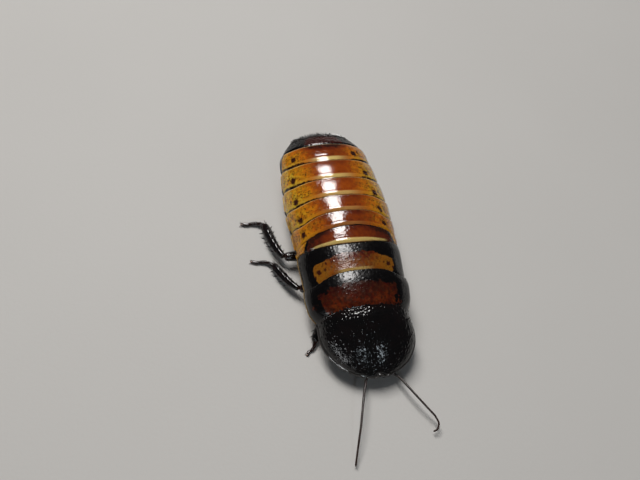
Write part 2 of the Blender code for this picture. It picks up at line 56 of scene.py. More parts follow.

# The arch of the back, as in the solids.
SIDE_HEIGHT = ((0.9, 3.9), (9.0, 5.05), (14.3, 5.8), (22.9, 6.35), (31.0, 6.55), (43.1, 6.65),
               (55.6, 7.2), (61.0, 7.5), (66.0, 7.9))
CROWN_HEIGHT = ((0.9, 4.5), (3.0, 6.6), (6.0, 8.9), (10.0, 11.2), (14.8, 12.9), (22.8, 14.1),
                (29.9, 14.6), (37.9, 15.4), (42.5, 15.3), (48.0, 14.9), (53.9, 14.3), (60.0, 13.2),
                (65.5, 10.7))
HALF_WIDTH = ((11.0, 10.9), (14.3, 10.8), (16.2, 11.8), (19.0, 12.2), (22.9, 12.2), (31.0, 12.3),
              (37.8, 12.6), (43.1, 12.8), (49.3, 12.4), (55.6, 11.7), (61.0, 10.6), (65.4, 7.0),
              (67.0, 5.2))
ARCH_POWER = ((16.0, 2.2), (40.0, 2.1), (62.0, 1.85))
SHIELD_FRONT = 0.9
SHIELD_WIDEST = 11.0
SHIELD_TURN = 0.105
NECK = 14.3
SWELLING = (3.6, 6.0, 2.6, 0.6)
TAIL_TURN = 0.03
WAIST = 36.0
THORAX_START = 7.8
PLATE_NAMES = ("pronotum", "mesonotum", "metanotum", "tergite_1", "tergite_2", "tergite_3",
               "tergite_4", "tergite_5", "tergite_6", "tergite_7")
# The rear edge of each plate: its place at the margins and at the crown, and how far it draws
# forward between the two.
REAR_EDGES = {
    "pronotum": (14.3, 14.8, 0.0),
    "mesonotum": (22.6, 23.0, 1.1),
    "metanotum": (31.0, 29.7, 0.2),
    "tergite_1": (32.2, 34.2, 0.0),
    "tergite_2": (37.8, 38.2, 0.9),
    "tergite_3": (43.1, 42.7, 0.6),
    "tergite_4": (49.3, 48.1, 0.5),
    "tergite_5": (55.6, 54.0, 0.4),
    "tergite_6": (61.0, 60.1, 0.3),
    "tergite_7": (65.4, 65.6, 0.0),
}
PLATE_RISE = 0.2
PLATE_SINK = 0.2
PLATE_TUCK = 1.6
SHELL = 0.32
HALF_ARC = 17.0
TOOTH_ARC = 20


def curve(table, at):
    """Values of a table of (place, value) rows, on a curve with no corner at the rows."""
    places, values = np.array(table, float).T
    slopes = np.gradient(values, places)
    at = np.clip(at, places[0], places[-1])
    k = np.clip(np.searchsorted(places, at, "right") - 1, 0, len(places) - 2)
    span = places[k + 1] - places[k]
    t = (at - places[k]) / span
    return (
        (2 * t**3 - 3 * t**2 + 1) * values[k]
        + (t**3 - 2 * t**2 + t) * span * slopes[k]
        + (3 * t**2 - 2 * t**3) * values[k + 1]
        + (t**3 - t**2) * span * slopes[k + 1]
    )


def column(table, k, at):
    """The curve through one column of a table whose first column is the place."""
    return curve([(row[0], row[k]) for row in table], at)


def ease(start, end, value):
    """Rises smoothly from 0 at start to 1 at end."""
    t = np.clip((np.asarray(value, float) - start) / (end - start), 0, 1)
    return t * t * (3 - 2 * t)


def fall(start, end, value):
    """Falls smoothly from 1 at start to 0 at end."""
    return 1 - ease(start, end, value)


def bell(value, centre, width):
    return np.exp(-(((value - centre) / width) ** 2))


def largest(*values):
    """The largest of several values at each point."""
    return functools.reduce(np.maximum, values)


def dome(value):
    """Half a circle: 1 at the middle and 0 at -1 and 1."""
    return np.sqrt(np.clip(1 - value**2, 0, 1))


def half_width(y):
    reach = (SHIELD_WIDEST - np.clip(y, SHIELD_FRONT, SHIELD_WIDEST)) / (SHIELD_WIDEST - SHIELD_FRONT)
    return np.where(y >= SHIELD_WIDEST, curve(HALF_WIDTH, y), HALF_WIDTH[0][1] * dome(reach))


def bent(points):
    """The pronotum and the head lean to the left of the line of the body, the tail to its right."""
    points = np.array(points, float)
    y = points[..., 1]
    points[..., 0] += SHIELD_TURN * np.clip(NECK - y, 0, None) - TAIL_TURN * np.clip(y - WAIST, 0, None)
    return points


def bent_grid(x, y, z):
    return bent(np.stack(np.broadcast_arrays(x, y, z), -1))


def on_back(y, u, depth=0.0):
    """Points of the back at length y and u across it, as far inside its surface as depth."""
    angle = (1 - np.asarray(u, float)) * math.pi / 2
    side = curve(SIDE_HEIGHT, y)
    rise = np.clip(curve(CROWN_HEIGHT, y) - side - depth, 0, None)
    wide, up = np.cos(angle), np.clip(np.sin(angle), 0, None)
    power = 2 / curve(ARCH_POWER, y)
    x = (half_width(y) - depth) * np.sign(wide) * np.abs(wide) ** power
    return bent_grid(x, y, side + rise * up**power)


def rear_edge(name, u):
    side, crown, draw = REAR_EDGES[name]
    s = np.abs(u)
    return side + (crown - side) * np.cos(s * math.pi / 2) ** 2 - draw * bell(s, 0.6, 0.22)


def plate_ahead(name):
    return PLATE_NAMES[PLATE_NAMES.index(name) - 1]


# Noise on jittered cells, always the same for the same seed.

TABLE_SIZE = 64
CELL_MARGIN = 0.15
CELL_FREE = 0.7
LOWEST_GRAIN = 0.35


def table_of(seed, layers):
    return np.random.default_rng(seed).random((TABLE_SIZE, TABLE_SIZE, layers))


def cells_at(a, b, size):
    """Each point in units of a grid of this size, and the cell it lies in."""
    a, b = np.broadcast_arrays(np.asarray(a, float) / size, np.asarray(b, float) / size)
    return a, b, np.floor(a).astype(int), np.floor(b).astype(int)


def pebbles(a, b, size, seed, fill=0.5, spread=1.0):
    """Heights from 0 to 1 of round grains, one in each cell of a grid of this size; with more
    spread, fewer of them are tall."""
    table = table_of(seed, 4)
    a, b, row, col = cells_at(a, b, size)
    lowest = LOWEST_GRAIN / spread
    best = np.zeros(a.shape)
    for da in (-1, 0, 1):
        for db in (-1, 0, 1):
            cell = table[(row + da) % TABLE_SIZE, (col + db) % TABLE_SIZE]
            away = (row + da + CELL_MARGIN + CELL_FREE * cell[..., 0] - a) ** 2
            away = away + (col + db + CELL_MARGIN + CELL_FREE * cell[..., 1] - b) ** 2
            radius = fill * (0.6 + 0.4 * cell[..., 2])
            height = lowest + (1 - lowest) * cell[..., 3] ** spread
            best = np.maximum(best, height * np.clip(1 - away / radius**2, 0, 1))
    return best


def ripple(a, b, size, seed):
    """Smooth noise from -1 to 1."""
    table = table_of(seed, 1)[..., 0]
    a, b, row, col = cells_at(a, b, size)
    share, rise = ease(0, 1, a - row), ease(0, 1, b - col)
    here, after = (table[row % TABLE_SIZE, k % TABLE_SIZE] * (1 - share)
                   + table[(row + 1) % TABLE_SIZE, k % TABLE_SIZE] * share for k in (col, col + 1))
    return 2 * (here * (1 - rise) + after * rise) - 1


# Meshes.


def grid_faces(rows, columns, closed=False):
    """Faces between neighbours in a grid; a closed one joins its last column to its first."""
    r = np.arange(rows - 1)[:, None]
    c = np.arange(columns if closed else columns - 1)[None]
    d = (c + 1) % columns
    corners = (r * columns + c, r * columns + d, (r + 1) * columns + d, (r + 1) * columns + c)
    return np.stack(np.broadcast_arrays(*corners), -1).reshape(-1, 4)


SHARP_DEG = 50


class Shape:
    """The closed parts of one piece, with the masks that its finish reads."""

    def __init__(self):
        self.points = []
        self.faces = []
        self.masks = []
        self.count = 0

    def add(self, points, faces, **masks):
        points = np.asarray(points, float).reshape(-1, 3)
        middle = points.mean(axis=0)
        first, second, third, fourth = (points[faces[:, k]] - middle for k in range(4))
        volume = np.einsum("ij,ij->", first, np.cross(second, third))
        volume += np.einsum("ij,ij->", first, np.cross(third, fourth))
        if volume < 0:
            faces = faces[:, ::-1]
        self.points.append(points)
        self.faces.append(faces + self.count)
        self.masks.append(masks)
        self.count += len(points)

    def add_loft(self, rings, **masks):
        """A closed solid through rings of points, each end drawn together to its middle."""
        rings = np.asarray(rings, float)
        sides = rings.shape[1]
        ends = [np.repeat(ring.mean(axis=0)[None], sides, axis=0)[None] for ring in (rings[0], rings[-1])]
        rings = np.concatenate([ends[0], rings, ends[1]])
        spread = {}
        for name, value in masks.items():
            value = np.asarray(value, float)
            if value.ndim:
                value = np.concatenate([value[:1], value, value[-1:]])
                value = np.broadcast_to(value.reshape(len(rings), -1), rings.shape[:2]).ravel()
            spread[name] = value
        self.add(rings, grid_faces(len(rings), sides, closed=True), **spread)

    def add_belly(self, lower, top, **masks):
        """A closed solid between an underside and a plain top, where the masks are 0."""
        plain = np.zeros(top.shape[:2])
        masks = {name: np.concatenate([np.broadcast_to(value, lower.shape[:2]), plain], 1)
                 for name, value in masks.items()}
        self.add_loft(np.concatenate([lower, top], axis=1), **masks)

    def add_sheet(self, outer, inner, **masks):
        """A closed sheet between two grids of points with the same rows."""
        rows, columns = outer.shape[:2]
        faces = grid_faces(rows, columns)
        half = rows * columns
        rim = np.concatenate([np.arange(columns), np.arange(2, rows) * columns - 1,
                              np.arange(half - 1, half - 1 - columns, -1),
                              np.arange(rows - 2, 0, -1) * columns])
        after = np.roll(rim, -1)
        side = np.stack([rim + half, after + half, after, rim], -1)
        faces = np.concatenate([faces, faces[:, ::-1] + half, side])
        spread = {name: np.concatenate([np.broadcast_to(value, (rows, columns)).ravel()] * 2)
                  for name, value in masks.items()}
        self.add(np.concatenate([outer.reshape(-1, 3), inner.reshape(-1, 3)]), faces, **spread)

    def piece(self, name, slot, *nodes, look=None):
        """The finished piece, which stands for these nodes; look is another slot's finish."""
        points = np.concatenate(self.points)
        mesh = bpy.data.meshes.new(name)
        mesh.from_pydata(((points + ORIGIN) * MM).tolist(), [], np.concatenate(self.faces).tolist())
        for mask in sorted({key for masks in self.masks for key in masks}):
            values = [np.broadcast_to(np.asarray(masks.get(mask, 0.0), float), (len(part),))
                      for masks, part in zip(self.masks, self.points)]
            layer = mesh.attributes.new(mask, "FLOAT", "POINT")
            layer.data.foreach_set("value", np.concatenate(values).astype(np.float32))
        mesh.validate()
        mesh.shade_smooth()
        mesh.set_sharp_from_angle(angle=math.radians(SHARP_DEG))
        mesh.materials.append(FINISHES[look or slot])
        piece = bpy.data.objects.new(name, mesh)
        bpy.context.scene.collection.objects.link(piece)
        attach(piece, "root")
        if nodes:
            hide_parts(*nodes)

    def skin(self, node, slot):
        self.piece(node + "_skin", slot, node)


SIDES = (("left", 1), ("right", -1))
ACROSS = np.array((1.0, 0, 0))


def unit(vector):
    return np.asarray(vector, float) / np.linalg.norm(vector)


def frame_of(direction):
    """The direction, the level way square to it and the upright way."""
    along = unit(direction)
    level = np.cross(along, (0, 0, 1))
    level = unit(level) if np.linalg.norm(level) > 1e-6 else ACROSS
    return along, level, np.cross(level, along)


def way_out(level, upright, turn):
    """The way away from a path, at this angle round it."""
    return level * math.cos(turn) + upright * math.sin(turn)


def ring_angles(sides):
    return 2 * math.pi * (np.arange(sides) + 0.5) / sides


def tube(path, wide, deep, sides):
    """Rings along a path, with these half widths level and upright."""
    path = np.asarray(path, float)
    sizes = (np.broadcast_to(size, len(path)) for size in (wide, deep))
    angle = ring_angles(sides)[:, None]
    rings = []
    for point, way, w, d in zip(path, np.gradient(path, axis=0), *sizes):
        _, level, upright = frame_of(way)
        rings.append(point + w * np.cos(angle) * level + d * np.sin(angle) * upright)
    return np.array(rings)


def spike(shape, root, way, length, radius, bend=(0, 0, 0), sides=7, rings=6, **masks):
    """A spine that narrows to its tip and may curve."""
    t = np.linspace(0, 1, rings)[:, None]
    path = np.asarray(root) + unit(way) * length * t + np.asarray(bend, float) * length * t**2
    size = radius * (1 - t[:, 0]) ** 0.75 + radius * 0.06
    shape.add_loft(tube(path, size, size, sides), **masks)


def hair(shape, root, way, length, radius, sides=3, tone=1.0):
    spike(shape, root, way, length, radius, sides=sides, rings=3, tone=tone)


def through(points, steps):
    """A smooth path through points."""
    points = np.asarray(points, float)
    places = np.concatenate([[0], np.cumsum(np.linalg.norm(np.diff(points, axis=0), axis=1))])
    at = np.linspace(0, places[-1], steps)
    return np.stack([curve(list(zip(places, points[:, k])), at) for k in range(3)], -1)


# Finishes. Each is a network on a Principled shader; masks are mesh attributes.


class Finish:
    def __init__(self, name, **sockets):
        self.material = bpy.data.materials.new(name)
        self.material.use_nodes = True
        self.tree = self.material.node_tree
        self.shader = self.tree.nodes["Principled BSDF"]
        for socket, value in sockets.items():
            self.shader.inputs[socket.replace("_", " ")].default_value = value
        self.spot = self.add("ShaderNodeTexCoord").outputs["Object"]

    def add(self, kind, links=None, **settings):
        node = self.tree.nodes.new(kind)
        for name, value in settings.items():
            setattr(node, name, value)
        for socket, value in (links or {}).items():
            self.feed(node.inputs[socket], value)
        return node

    def feed(self, socket, value):
        if isinstance(value, bpy.types.NodeSocket):
            self.tree.links.new(value, socket)
        else:
            socket.default_value = value

    def mask(self, name):
        return self.add("ShaderNodeAttribute", attribute_name=name).outputs["Fac"]

    def noise(self, size, detail=2.0, stretch=(1, 1, 1)):
        """Noise whose blobs are about size millimetres across."""
        spot = self.add("ShaderNodeMapping", {"Vector": self.spot, "Scale": stretch}).outputs[0]
        links = {"Vector": spot, "Scale": 1 / (size * MM), "Detail": detail}
        return self.add("ShaderNodeTexNoise", links).outputs["Fac"]

    def cells(self, size):
        """Distance from the middle of round cells, which are size millimetres apart."""
        links = {"Vector": self.spot, "Scale": 1 / (size * MM)}
        return self.add("ShaderNodeTexVoronoi", links).outputs["Distance"]

    def calc(self, operation, a, b, c=0.0, clamp=False):
        node = self.add("ShaderNodeMath", {0: a, 1: b, 2: c}, operation=operation, use_clamp=clamp)
        return node.outputs[0]

    def times(self, a, b, clamp=False):
        return self.calc("MULTIPLY", a, b, clamp=clamp)

    def between(self, value, low, high, out_low=0.0, out_high=1.0):
        links = {"Value": value, "From Min": low, "From Max": high, "To Min": out_low, "To Max": out_high}
        return self.add("ShaderNodeMapRange", links, interpolation_type="SMOOTHSTEP").outputs[0]

    def cloud(self, size, detail, out_low, out_high):
        return self.between(self.noise(size, detail), 0.3, 0.7, out_low, out_high)

    def ramp(self, value, *stops):
        node = self.add("ShaderNodeValToRGB", {"Fac": value})
        elements = node.color_ramp.elements
        while len(elements) < len(stops):
            elements.new(1.0)
        for element, (place, colour) in zip(elements, stops):
            element.position = place
            element.color = (*colour, 1)
        return node.outputs["Color"]

    def mix(self, share, a, b):
        a, b = ((*c, 1) if isinstance(c, tuple) else c for c in (a, b))
        node = self.add("ShaderNodeMix", data_type="RGBA")
        self.feed(node.inputs["Factor"], share)
        self.feed(node.inputs[6], a)
        self.feed(node.inputs[7], b)
        return node.outputs[2]

    def bump(self, *layers):
        """Bump from (height, millimetres) layers."""
        normal = None
        for height, depth in layers:
            node = self.add("ShaderNodeBump", {"Height": height, "Distance": depth * MM, "Strength": 1.0})
            if normal:
                self.feed(node.inputs["Normal"], normal)
            normal = node.outputs[0]
        self.feed(self.shader.inputs["Normal"], normal)

    def done(self, colour, roughness):
        self.feed(self.shader.inputs["Base Color"], colour)
        self.feed(self.shader.inputs["Roughness"], roughness)
        return self.material


BLACK = (0.0022, 0.0016, 0.0018)
WARM_BLACK = (0.007, 0.003, 0.003)
# Grey of a painted highlight line along the pronotum's raised rim.
RIM_HIGHLIGHT_GREY = (0.055, 0.050, 0.048)
UMBER = (0.030, 0.007, 0.003)
# Brown of the plates' spots, also of the painted shadow wedges behind each rear edge.
SPOT_AND_SHADOW_BROWN = (0.040, 0.008, 0.003)
SPECK_BROWN = (0.045, 0.009, 0.003)
MAHOGANY = (0.13, 0.018, 0.004)
RUSSET = (0.34, 0.060, 0.003)
ORANGE = (0.58, 0.165, 0.005)
AMBER = (0.62, 0.26, 0.006)
STRAW = (0.66, 0.42, 0.03)
# Cream of the pale bands, also used for painted highlights.
CREAM = (0.82, 0.60, 0.20)
OLIVE = (0.20, 0.105, 0.008)
BELLY_COLOURS = ((0.0, (0.34, 0.15, 0.035)), (0.5, (0.16, 0.045, 0.012)), (1.0, (0.03, 0.009, 0.005)))
PALE_SKIN = (0.42, 0.30, 0.19)
LENS_MIDDLE = (0.010, 0.006, 0.006)
LENS_EDGE = (0.002, 0.002, 0.002)
FLOOR_COLOURS = ((0.62, 0.605, 0.585), (0.66, 0.645, 0.625))
FLOOR_ROUGHNESS = 0.65
EYE_ROUGHNESS = 0.16


def plate_finish(name, gloss, coat, roughness, *stops):
    """Back plates: these colours along the tone mask, with fine lengthwise streaks, pale bands, small dark
    specks, brown spots and ragged black marks where the masks ask for them; the pale mask also paints
    highlights, and the spot and dark masks paint shadow behind the rear edge of the plate in front."""
    f = Finish(name, Specular_IOR_Level=gloss, Coat_Weight=coat, Coat_Roughness=0.05)
    shift = f.times(f.cloud(1.1, 4.0, -0.14, 0.14), f.calc("MULTIPLY_ADD", f.mask("speck"), 0.75, 0.25))
    colour = f.ramp(f.calc("ADD", f.mask("tone"), shift, clamp=True), *stops)
    olive = f.times(f.between(f.noise(0.8, 4.0), 0.40, 0.66), f.mask("speck"))
    colour = f.mix(f.times(olive, 0.62), colour, OLIVE)
    streaks = f.between(f.noise(0.26, 3.0, (1.0, 0.2, 0.6)), 0.45, 0.72)
    colour = f.mix(f.times(f.times(streaks, f.mask("wrinkle")), 0.45), colour, MAHOGANY)
    # The pale mask carries the pale bands and painted highlights.
    colour = f.mix(f.mask("pale"), colour, CREAM)
    specks = f.times(f.between(f.cells(0.48), 0.40, 0.26), f.between(f.noise(0.8, 3.0), 0.36, 0.50))
    specks = f.times(specks, f.mask("speck"), clamp=True)
    colour = f.mix(f.times(specks, 0.92), colour, SPECK_BROWN)
    fray = f.between(f.noise(0.55, 5.0), 0.25, 0.75, -0.20, 0.20)
    # The spot mask carries the brown spots and the painted shadow wedges.
    spots = f.between(f.calc("ADD", f.mask("spot"), fray), 0.30, 0.75)
    colour = f.mix(spots, colour, SPOT_AND_SHADOW_BROWN)
    # The dark mask carries the black marks and the painted shadow lines.
    marks = f.between(f.calc("ADD", f.mask("dark"), fray), 0.38, 0.62)
    colour = f.mix(marks, colour, BLACK)
    wrinkles = f.noise(0.22, 2.0, (1.0, 0.16, 1.0))
    pits = f.between(f.cells(0.42), 0.0, 0.3)
    f.bump((f.noise(0.9, 3.0), 0.03), (f.times(wrinkles, f.mask("wrinkle")), 0.04),
           (f.times(pits, f.mask("rough")), 0.04), (f.noise(0.11, 2.0), 0.003))
    return f.done(colour, f.cloud(0.8, 3.0, *roughness))


def black_shell(name):
    """The pronotum and the tail: black, its grains glossier than the ground between them, with a painted
    grey highlight along the rim.
    """
    f = Finish(name, Specular_IOR_Level=0.5)
    cloud = f.between(f.noise(2.4, 4.0), 0.35, 0.7)
    colour = f.mix(f.times(cloud, 0.5), BLACK, WARM_BLACK)
    colour = f.mix(f.mask("tone"), colour, UMBER)
    # The rim mask paints a grey highlight line along the raised rim.
    colour = f.mix(f.mask("rim"), colour, RIM_HIGHLIGHT_GREY)
    plain = f.calc("SUBTRACT", 1.0, f.mask("rim"))
    plain = f.calc("SUBTRACT", plain, f.mask("grain"), clamp=True)
    f.bump((f.times(f.noise(0.4, 3.0), plain), 0.02),
           (f.times(f.between(f.cells(0.30), 0.0, 0.35), plain), 0.010))
    return f.done(colour, f.between(f.calc("SUBTRACT", 1.0, plain), 0.0, 0.35, 0.17, 0.08))


def cuticle(name, low, high, joint, roughness=(0.16, 0.34)):
    """Legs, head and feelers: glossy skin that goes from low to high with the tone mask, and pale
    between the joints."""
    f = Finish(name, Specular_IOR_Level=0.5, Coat_Weight=0.25, Coat_Roughness=0.1)
    tone = f.calc("ADD", f.mask("tone"), f.cloud(1.2, 4.0, -0.15, 0.15), clamp=True)
    colour = f.ramp(tone, (0.0, low), (1.0, high))
    colour = f.mix(f.mask("joint"), colour, joint)
    f.bump((f.noise(0.35, 3.0), 0.03), (f.between(f.cells(0.25), 0.0, 0.4), 0.012),
           (f.noise(0.08, 2.0), 0.005))
    return f.done(colour, f.cloud(0.6, 3.0, *roughness))


def underside(name):
    """Belly plates: dark amber brown with darker edges and pale skin between them."""
    f = Finish(name, Specular_IOR_Level=0.5, Coat_Weight=0.3, Coat_Roughness=0.1)
    tone = f.calc("ADD", f.mask("tone"), f.cloud(1.8, 4.0, -0.2, 0.2), clamp=True)
    colour = f.mix(f.mask("skin"), f.ramp(tone, *BELLY_COLOURS), PALE_SKIN)
    specks = f.between(f.cells(0.5), 0.30, 0.16)
    colour = f.mix(f.times(specks, 0.7), colour, UMBER)
    f.bump((f.noise(0.5, 3.0, (1.0, 0.4, 1.0)), 0.05), (f.between(f.cells(0.3), 0.0, 0.4), 0.015))
    return f.done(colour, f.cloud(0.8, 3.0, 0.2, 0.38))


def facets(name):
    """A compound eye: black, with its lenses as fine bumps."""
    f = Finish(name, Specular_IOR_Level=0.6, Coat_Weight=0.6, Coat_Roughness=0.05)
    cells = f.cells(0.09)
    f.bump((f.between(cells, 0.55, 0.05), 0.015))
    return f.done(f.mix(f.between(cells, 0.3, 0.7), LENS_MIDDLE, LENS_EDGE), EYE_ROUGHNESS)


def ground():
    f = Finish("floor", Specular_IOR_Level=0.3)
    f.bump((f.noise(0.8, 3.0), 0.03))
    return f.done(f.mix(f.noise(60.0, 3.0), *FLOOR_COLOURS), FLOOR_ROUGHNESS)


# Plates of the back.

MARGIN = 0.94
MARGIN_COLUMNS = 18
TUCK_SHARE = 0.3
ROLL_START = 0.955
ROLL = 0.045
THIN_EDGE = 0.02
PATTERN_TURN = 0.07
SPOT_REACH = 5.2
PATCH_TURN = 0.06


def across(columns):
    """Places across the back from margin to margin, closest together at the rolled margins."""
    edge = np.linspace(-1, -MARGIN, MARGIN_COLUMNS)
    middle = np.linspace(-MARGIN, MARGIN, columns - 2 * MARGIN_COLUMNS + 2)[1:-1]
    return np.concatenate([edge, middle, -edge[::-1]])[None]


def quick_rise(v):
    """A plate of the abdomen climbs close behind the plate in front."""
    return 0.8 * ease(0, 0.22, v) + 0.2 * ease(0.3, 1, v)


def long_rise(v):
    """A plate of the thorax climbs over most of its length and rolls down to its rear edge."""
    return 0.30 * ease(0, 0.10, v) + 1.0 * ease(0, 0.80, v) - 0.40 * ease(0.78, 1.0, v)


def back_plate(name, columns, rows, relief, masks, slot, teeth=0.0, look=None, rise=quick_rise):
    """One plate: tucked under the plate in front, its rear edge proud of the one behind."""
    u = across(columns)
    s = np.abs(u)
    tucked = np.linspace(-TUCK_SHARE, 0, 7)[:-1]
    rolled = 1 - ROLL * (1 - np.linspace(0.2, 1, 5)) ** 2
    v = np.concatenate([tucked, np.linspace(0, ROLL_START, rows), rolled])[:, None]
    front = rear_edge(plate_ahead(name), u)
    rear = rear_edge(name, u) + teeth * pebbles(u * TOOTH_ARC, 0 * u, 0.55, SEED + 3, 0.6) - teeth / 2
    y = np.where(v >= 0, front + (rear - front) * v, front + PLATE_TUCK * v / TUCK_SHARE)
    info = dict(u=u, s=s, v=v, y=y, arc=u * HALF_ARC)
    step = (PLATE_SINK + PLATE_RISE) * rise(v) * (1 - 0.45 * ease(0.8, 1, s))
    depth = np.where(v >= 0, PLATE_SINK - step, PLATE_SINK - v)
    thick = SHELL * dome(np.clip((v - ROLL_START) / ROLL, 0, 1)) + THIN_EDGE
    thick = thick * (1 - 0.6 * ease(0.97, 1.0, s))
    lift = relief(**info) * ease(-0.2, 0.02, v) * fall(0.99, 1.0, s)
    middle = depth + SHELL / 2
    outer = on_back(y, u, middle - thick / 2 - lift)
    inner = on_back(y, u, middle + thick / 2)
    values = {key: np.clip(np.broadcast_to(value, y.shape), 0, 1) for key, value in masks(**info).items()}
    shape = Shape()
    shape.add_sheet(outer, inner, **values)
    shape.piece(name + "_shell", slot, name, look=look)


def abdomen_relief(u, s, v, y, arc):
    groove = -0.04 * bell(v, 0.33, 0.02) * fall(0.45, 0.7, s)
    swell = 0.06 * bell(v, 0.62, 0.3)
    folds = 0.014 * ripple(arc, y, 0.28, SEED) * ease(0.5, 0.95, v) * (1 - 0.6 * ease(0.6, 0.9, s))
    pits = -0.03 * pebbles(arc, y, 0.5, SEED + 1, 0.3) * ease(0.3, 0.45, v)
    return groove + swell + folds + pits + margin_rim(s)


def margin_rim(s):
    """The rolled margin of a plate and the groove inside it."""
    return 0.14 * bell(s, 0.979, 0.010) - 0.07 * bell(s, 0.952, 0.013)


def round_spot(aside, place, v, start, size):
    """A spot on both sides of a plate, at this place across it and this share of its length."""
    return bell(np.hypot((aside - place) * HALF_ARC, (v - start) * SPOT_REACH), 0, size)


def abdomen_masks(u, s, v, y, arc, crown, pale, rear, spot, shadow_wedge_size, shade=0.0, dusk=0.0):
    lean = np.abs(u + 0.03 * (1 - s))
    centre = fall(0.2, 0.4, lean)
    band = ease(0.03, 0.08, v) * fall(0.19, 0.26, v)
    tone = 0.10 + crown * fall(0.16, 0.50, lean) + 0.12 * fall(0.40, 0.75, lean) + shade
    tone = tone + rear * ease(0.5, 1.0, v) * fall(0.35, 0.8, lean) - 0.12 * band
    # The pale band at each plate's front is the plate's own colour; its boost near the middle line is a
    # painted highlight.
    cream = pale * (1 + 0.6 * bell(lean, 0.0, 0.16)) * band * (1 - 0.9 * ease(0.10, 0.34, lean))
    cream = cream + 0.30 * ease(0.86, 0.97, s) * ease(0.3, 0.8, v)
    # A painted highlight: a thin pale line just in front of each rear edge.
    cream = cream + (0.25 + 0.3 * ease(0.22, 0.45, lean)) * ease(0.945, 0.965, v)
    # A painted shadow: a soft dark wedge just behind the rear edge of the plate in front, brown through the
    # spot mask and black through the dark mask.
    reach = 0.05 + shadow_wedge_size * ease(0.18, 0.5, s) * fall(0.78, 1.0, s)
    shadow_wedge = fall(reach - 0.06, reach + 0.08, v)
    aside = np.abs(u + PATTERN_TURN)
    spots = largest(round_spot(aside, spot[0], v, spot[1], 0.95),
                    0.7 * round_spot(aside, spot[0] + 0.09, v, spot[1] + 0.12, 0.5), 0.75 * shadow_wedge)
    # The first two terms paint a shadow line and the shadow wedge behind the rear edge of the plate in
    # front.
    dark = largest(fall(0.03, 0.07, v),
                   0.50 * shadow_wedge,
                   0.60 * bell(v, 0.33, 0.018) * fall(0.18, 0.4, lean),
                   0.75 * ease(0.88, 0.96, s) * fall(0.2, 0.35, v),
                   0.6 * ease(0.975, 1.0, v) * centre,
                   dusk * ease(0.76, 1.0, s + 0.15 * v))
    return dict(tone=tone, pale=cream, dark=dark, spot=spots, rough=0.3 * (1 - centre),
                speck=ease(0.12, 0.42, lean) * ease(0.14, 0.30, v) * (1 - 0.35 * ease(0.6, 0.95, v)),
                wrinkle=0.6 * ease(0.45, 0.8, v) * (1 - 0.5 * ease(0.3, 0.6, s)))


ABDOMEN_PATTERN = {
    "tergite_2": dict(crown=0.40, pale=0.12, rear=0.12, spot=(0.55, 0.45), shadow_wedge_size=0.04, shade=0.20),
    "tergite_3": dict(crown=0.48, pale=0.22, rear=0.12, spot=(0.54, 0.32), shadow_wedge_size=0.05, shade=0.07),
    "tergite_4": dict(crown=0.48, pale=0.42, rear=0.10, spot=(0.54, 0.27), shadow_wedge_size=0.07),
    "tergite_5": dict(crown=0.50, pale=0.55, rear=0.12, spot=(0.53, 0.33), shadow_wedge_size=0.09),
    "tergite_6": dict(crown=0.50, pale=0.65, rear=0.26, spot=(0.47, 0.42), shadow_wedge_size=0.11, shade=0.10,
                      dusk=0.75),
}


def make_abdomen_plates():
    for name, pattern in ABDOMEN_PATTERN.items():
        masks = functools.partial(abdomen_masks, **pattern)
        back_plate(name, 280, 46, abdomen_relief, masks, "amber_shell", 0.05)


def make_first_tergite():
    """A crescent between the corners of the next plate, which seem to reach the thorax."""
    def masks(u, s, v, y, arc):
        lean = np.abs(u + 0.06 * (1 - s))
        end = lean + 0.12 * (v - 0.5)
        cream = ease(0.05, 0.10, v) * fall(0.26, 0.34, v + 0.25 * lean) * fall(0.42, 0.54, lean)
        plain = fall(0.60, 0.64, end)
        # The second term paints a shadow line under the metanotum's rear edge.
        dark = largest(bell(end, 0.60, 0.035), fall(0.03, 0.08, v), ease(0.9, 0.97, v) * plain)
        tone = 0.84 + 0.12 * ease(0.5, 1.0, v) + 0.12 * ease(0.15, 0.45, lean)
        return dict(tone=tone * plain + 0.22 * (1 - plain), pale=0.9 * cream * plain, dark=dark,
                    speck=0.8 * (1 - plain), wrinkle=0.3 * ease(0.45, 0.9, v) * plain)

    back_plate("tergite_1", 280, 40, abdomen_relief, masks, "amber_shell")


def make_last_tergite():
    def relief(u, s, v, y, arc):
        grains = 0.10 * pebbles(arc, y, 0.55, SEED + 5, 0.42) * ease(0.1, 0.6, v)
        return grains + 0.12 * bell(v, 0.86, 0.05) + 0.03 * ripple(arc, y, 0.5, SEED)

    def masks(u, s, v, y, arc):
        # The last term paints a shadow line under the rear edge of the plate in front.
        dark = 0.30 + 0.45 * ease(0.55, 0.9, v) + 0.7 * ease(0.26, 0.44, s) + 0.6 * fall(0.04, 0.16, v)
        return dict(tone=0.88, dark=dark, rough=0.8, wrinkle=0.5)

    back_plate("tergite_7", 300, 60, relief, masks, "black_shell", 0.45, "mahogany_shell")


def thorax_relief(u, s, v, y, arc):
    coarse = 0.035 * pebbles(arc, y, 0.85, SEED + 7, 0.40, 2.0)
    grains = coarse + 0.010 * pebbles(arc, y, 0.40, SEED + 8, 0.45)
    bumps = 0.05 * pebbles(arc, y, 0.7, SEED + 6, 0.45, 1.5) * bell(v, 0.93, 0.06)
    hollow = -0.15 * bell(s, 0.62, 0.10) * bell(v, 0.45, 0.3)
    return (grains * (0.4 + 0.6 * ease(0.05, 0.3, v)) + bumps) * fall(0.9, 0.95, s) + hollow + margin_rim(s)


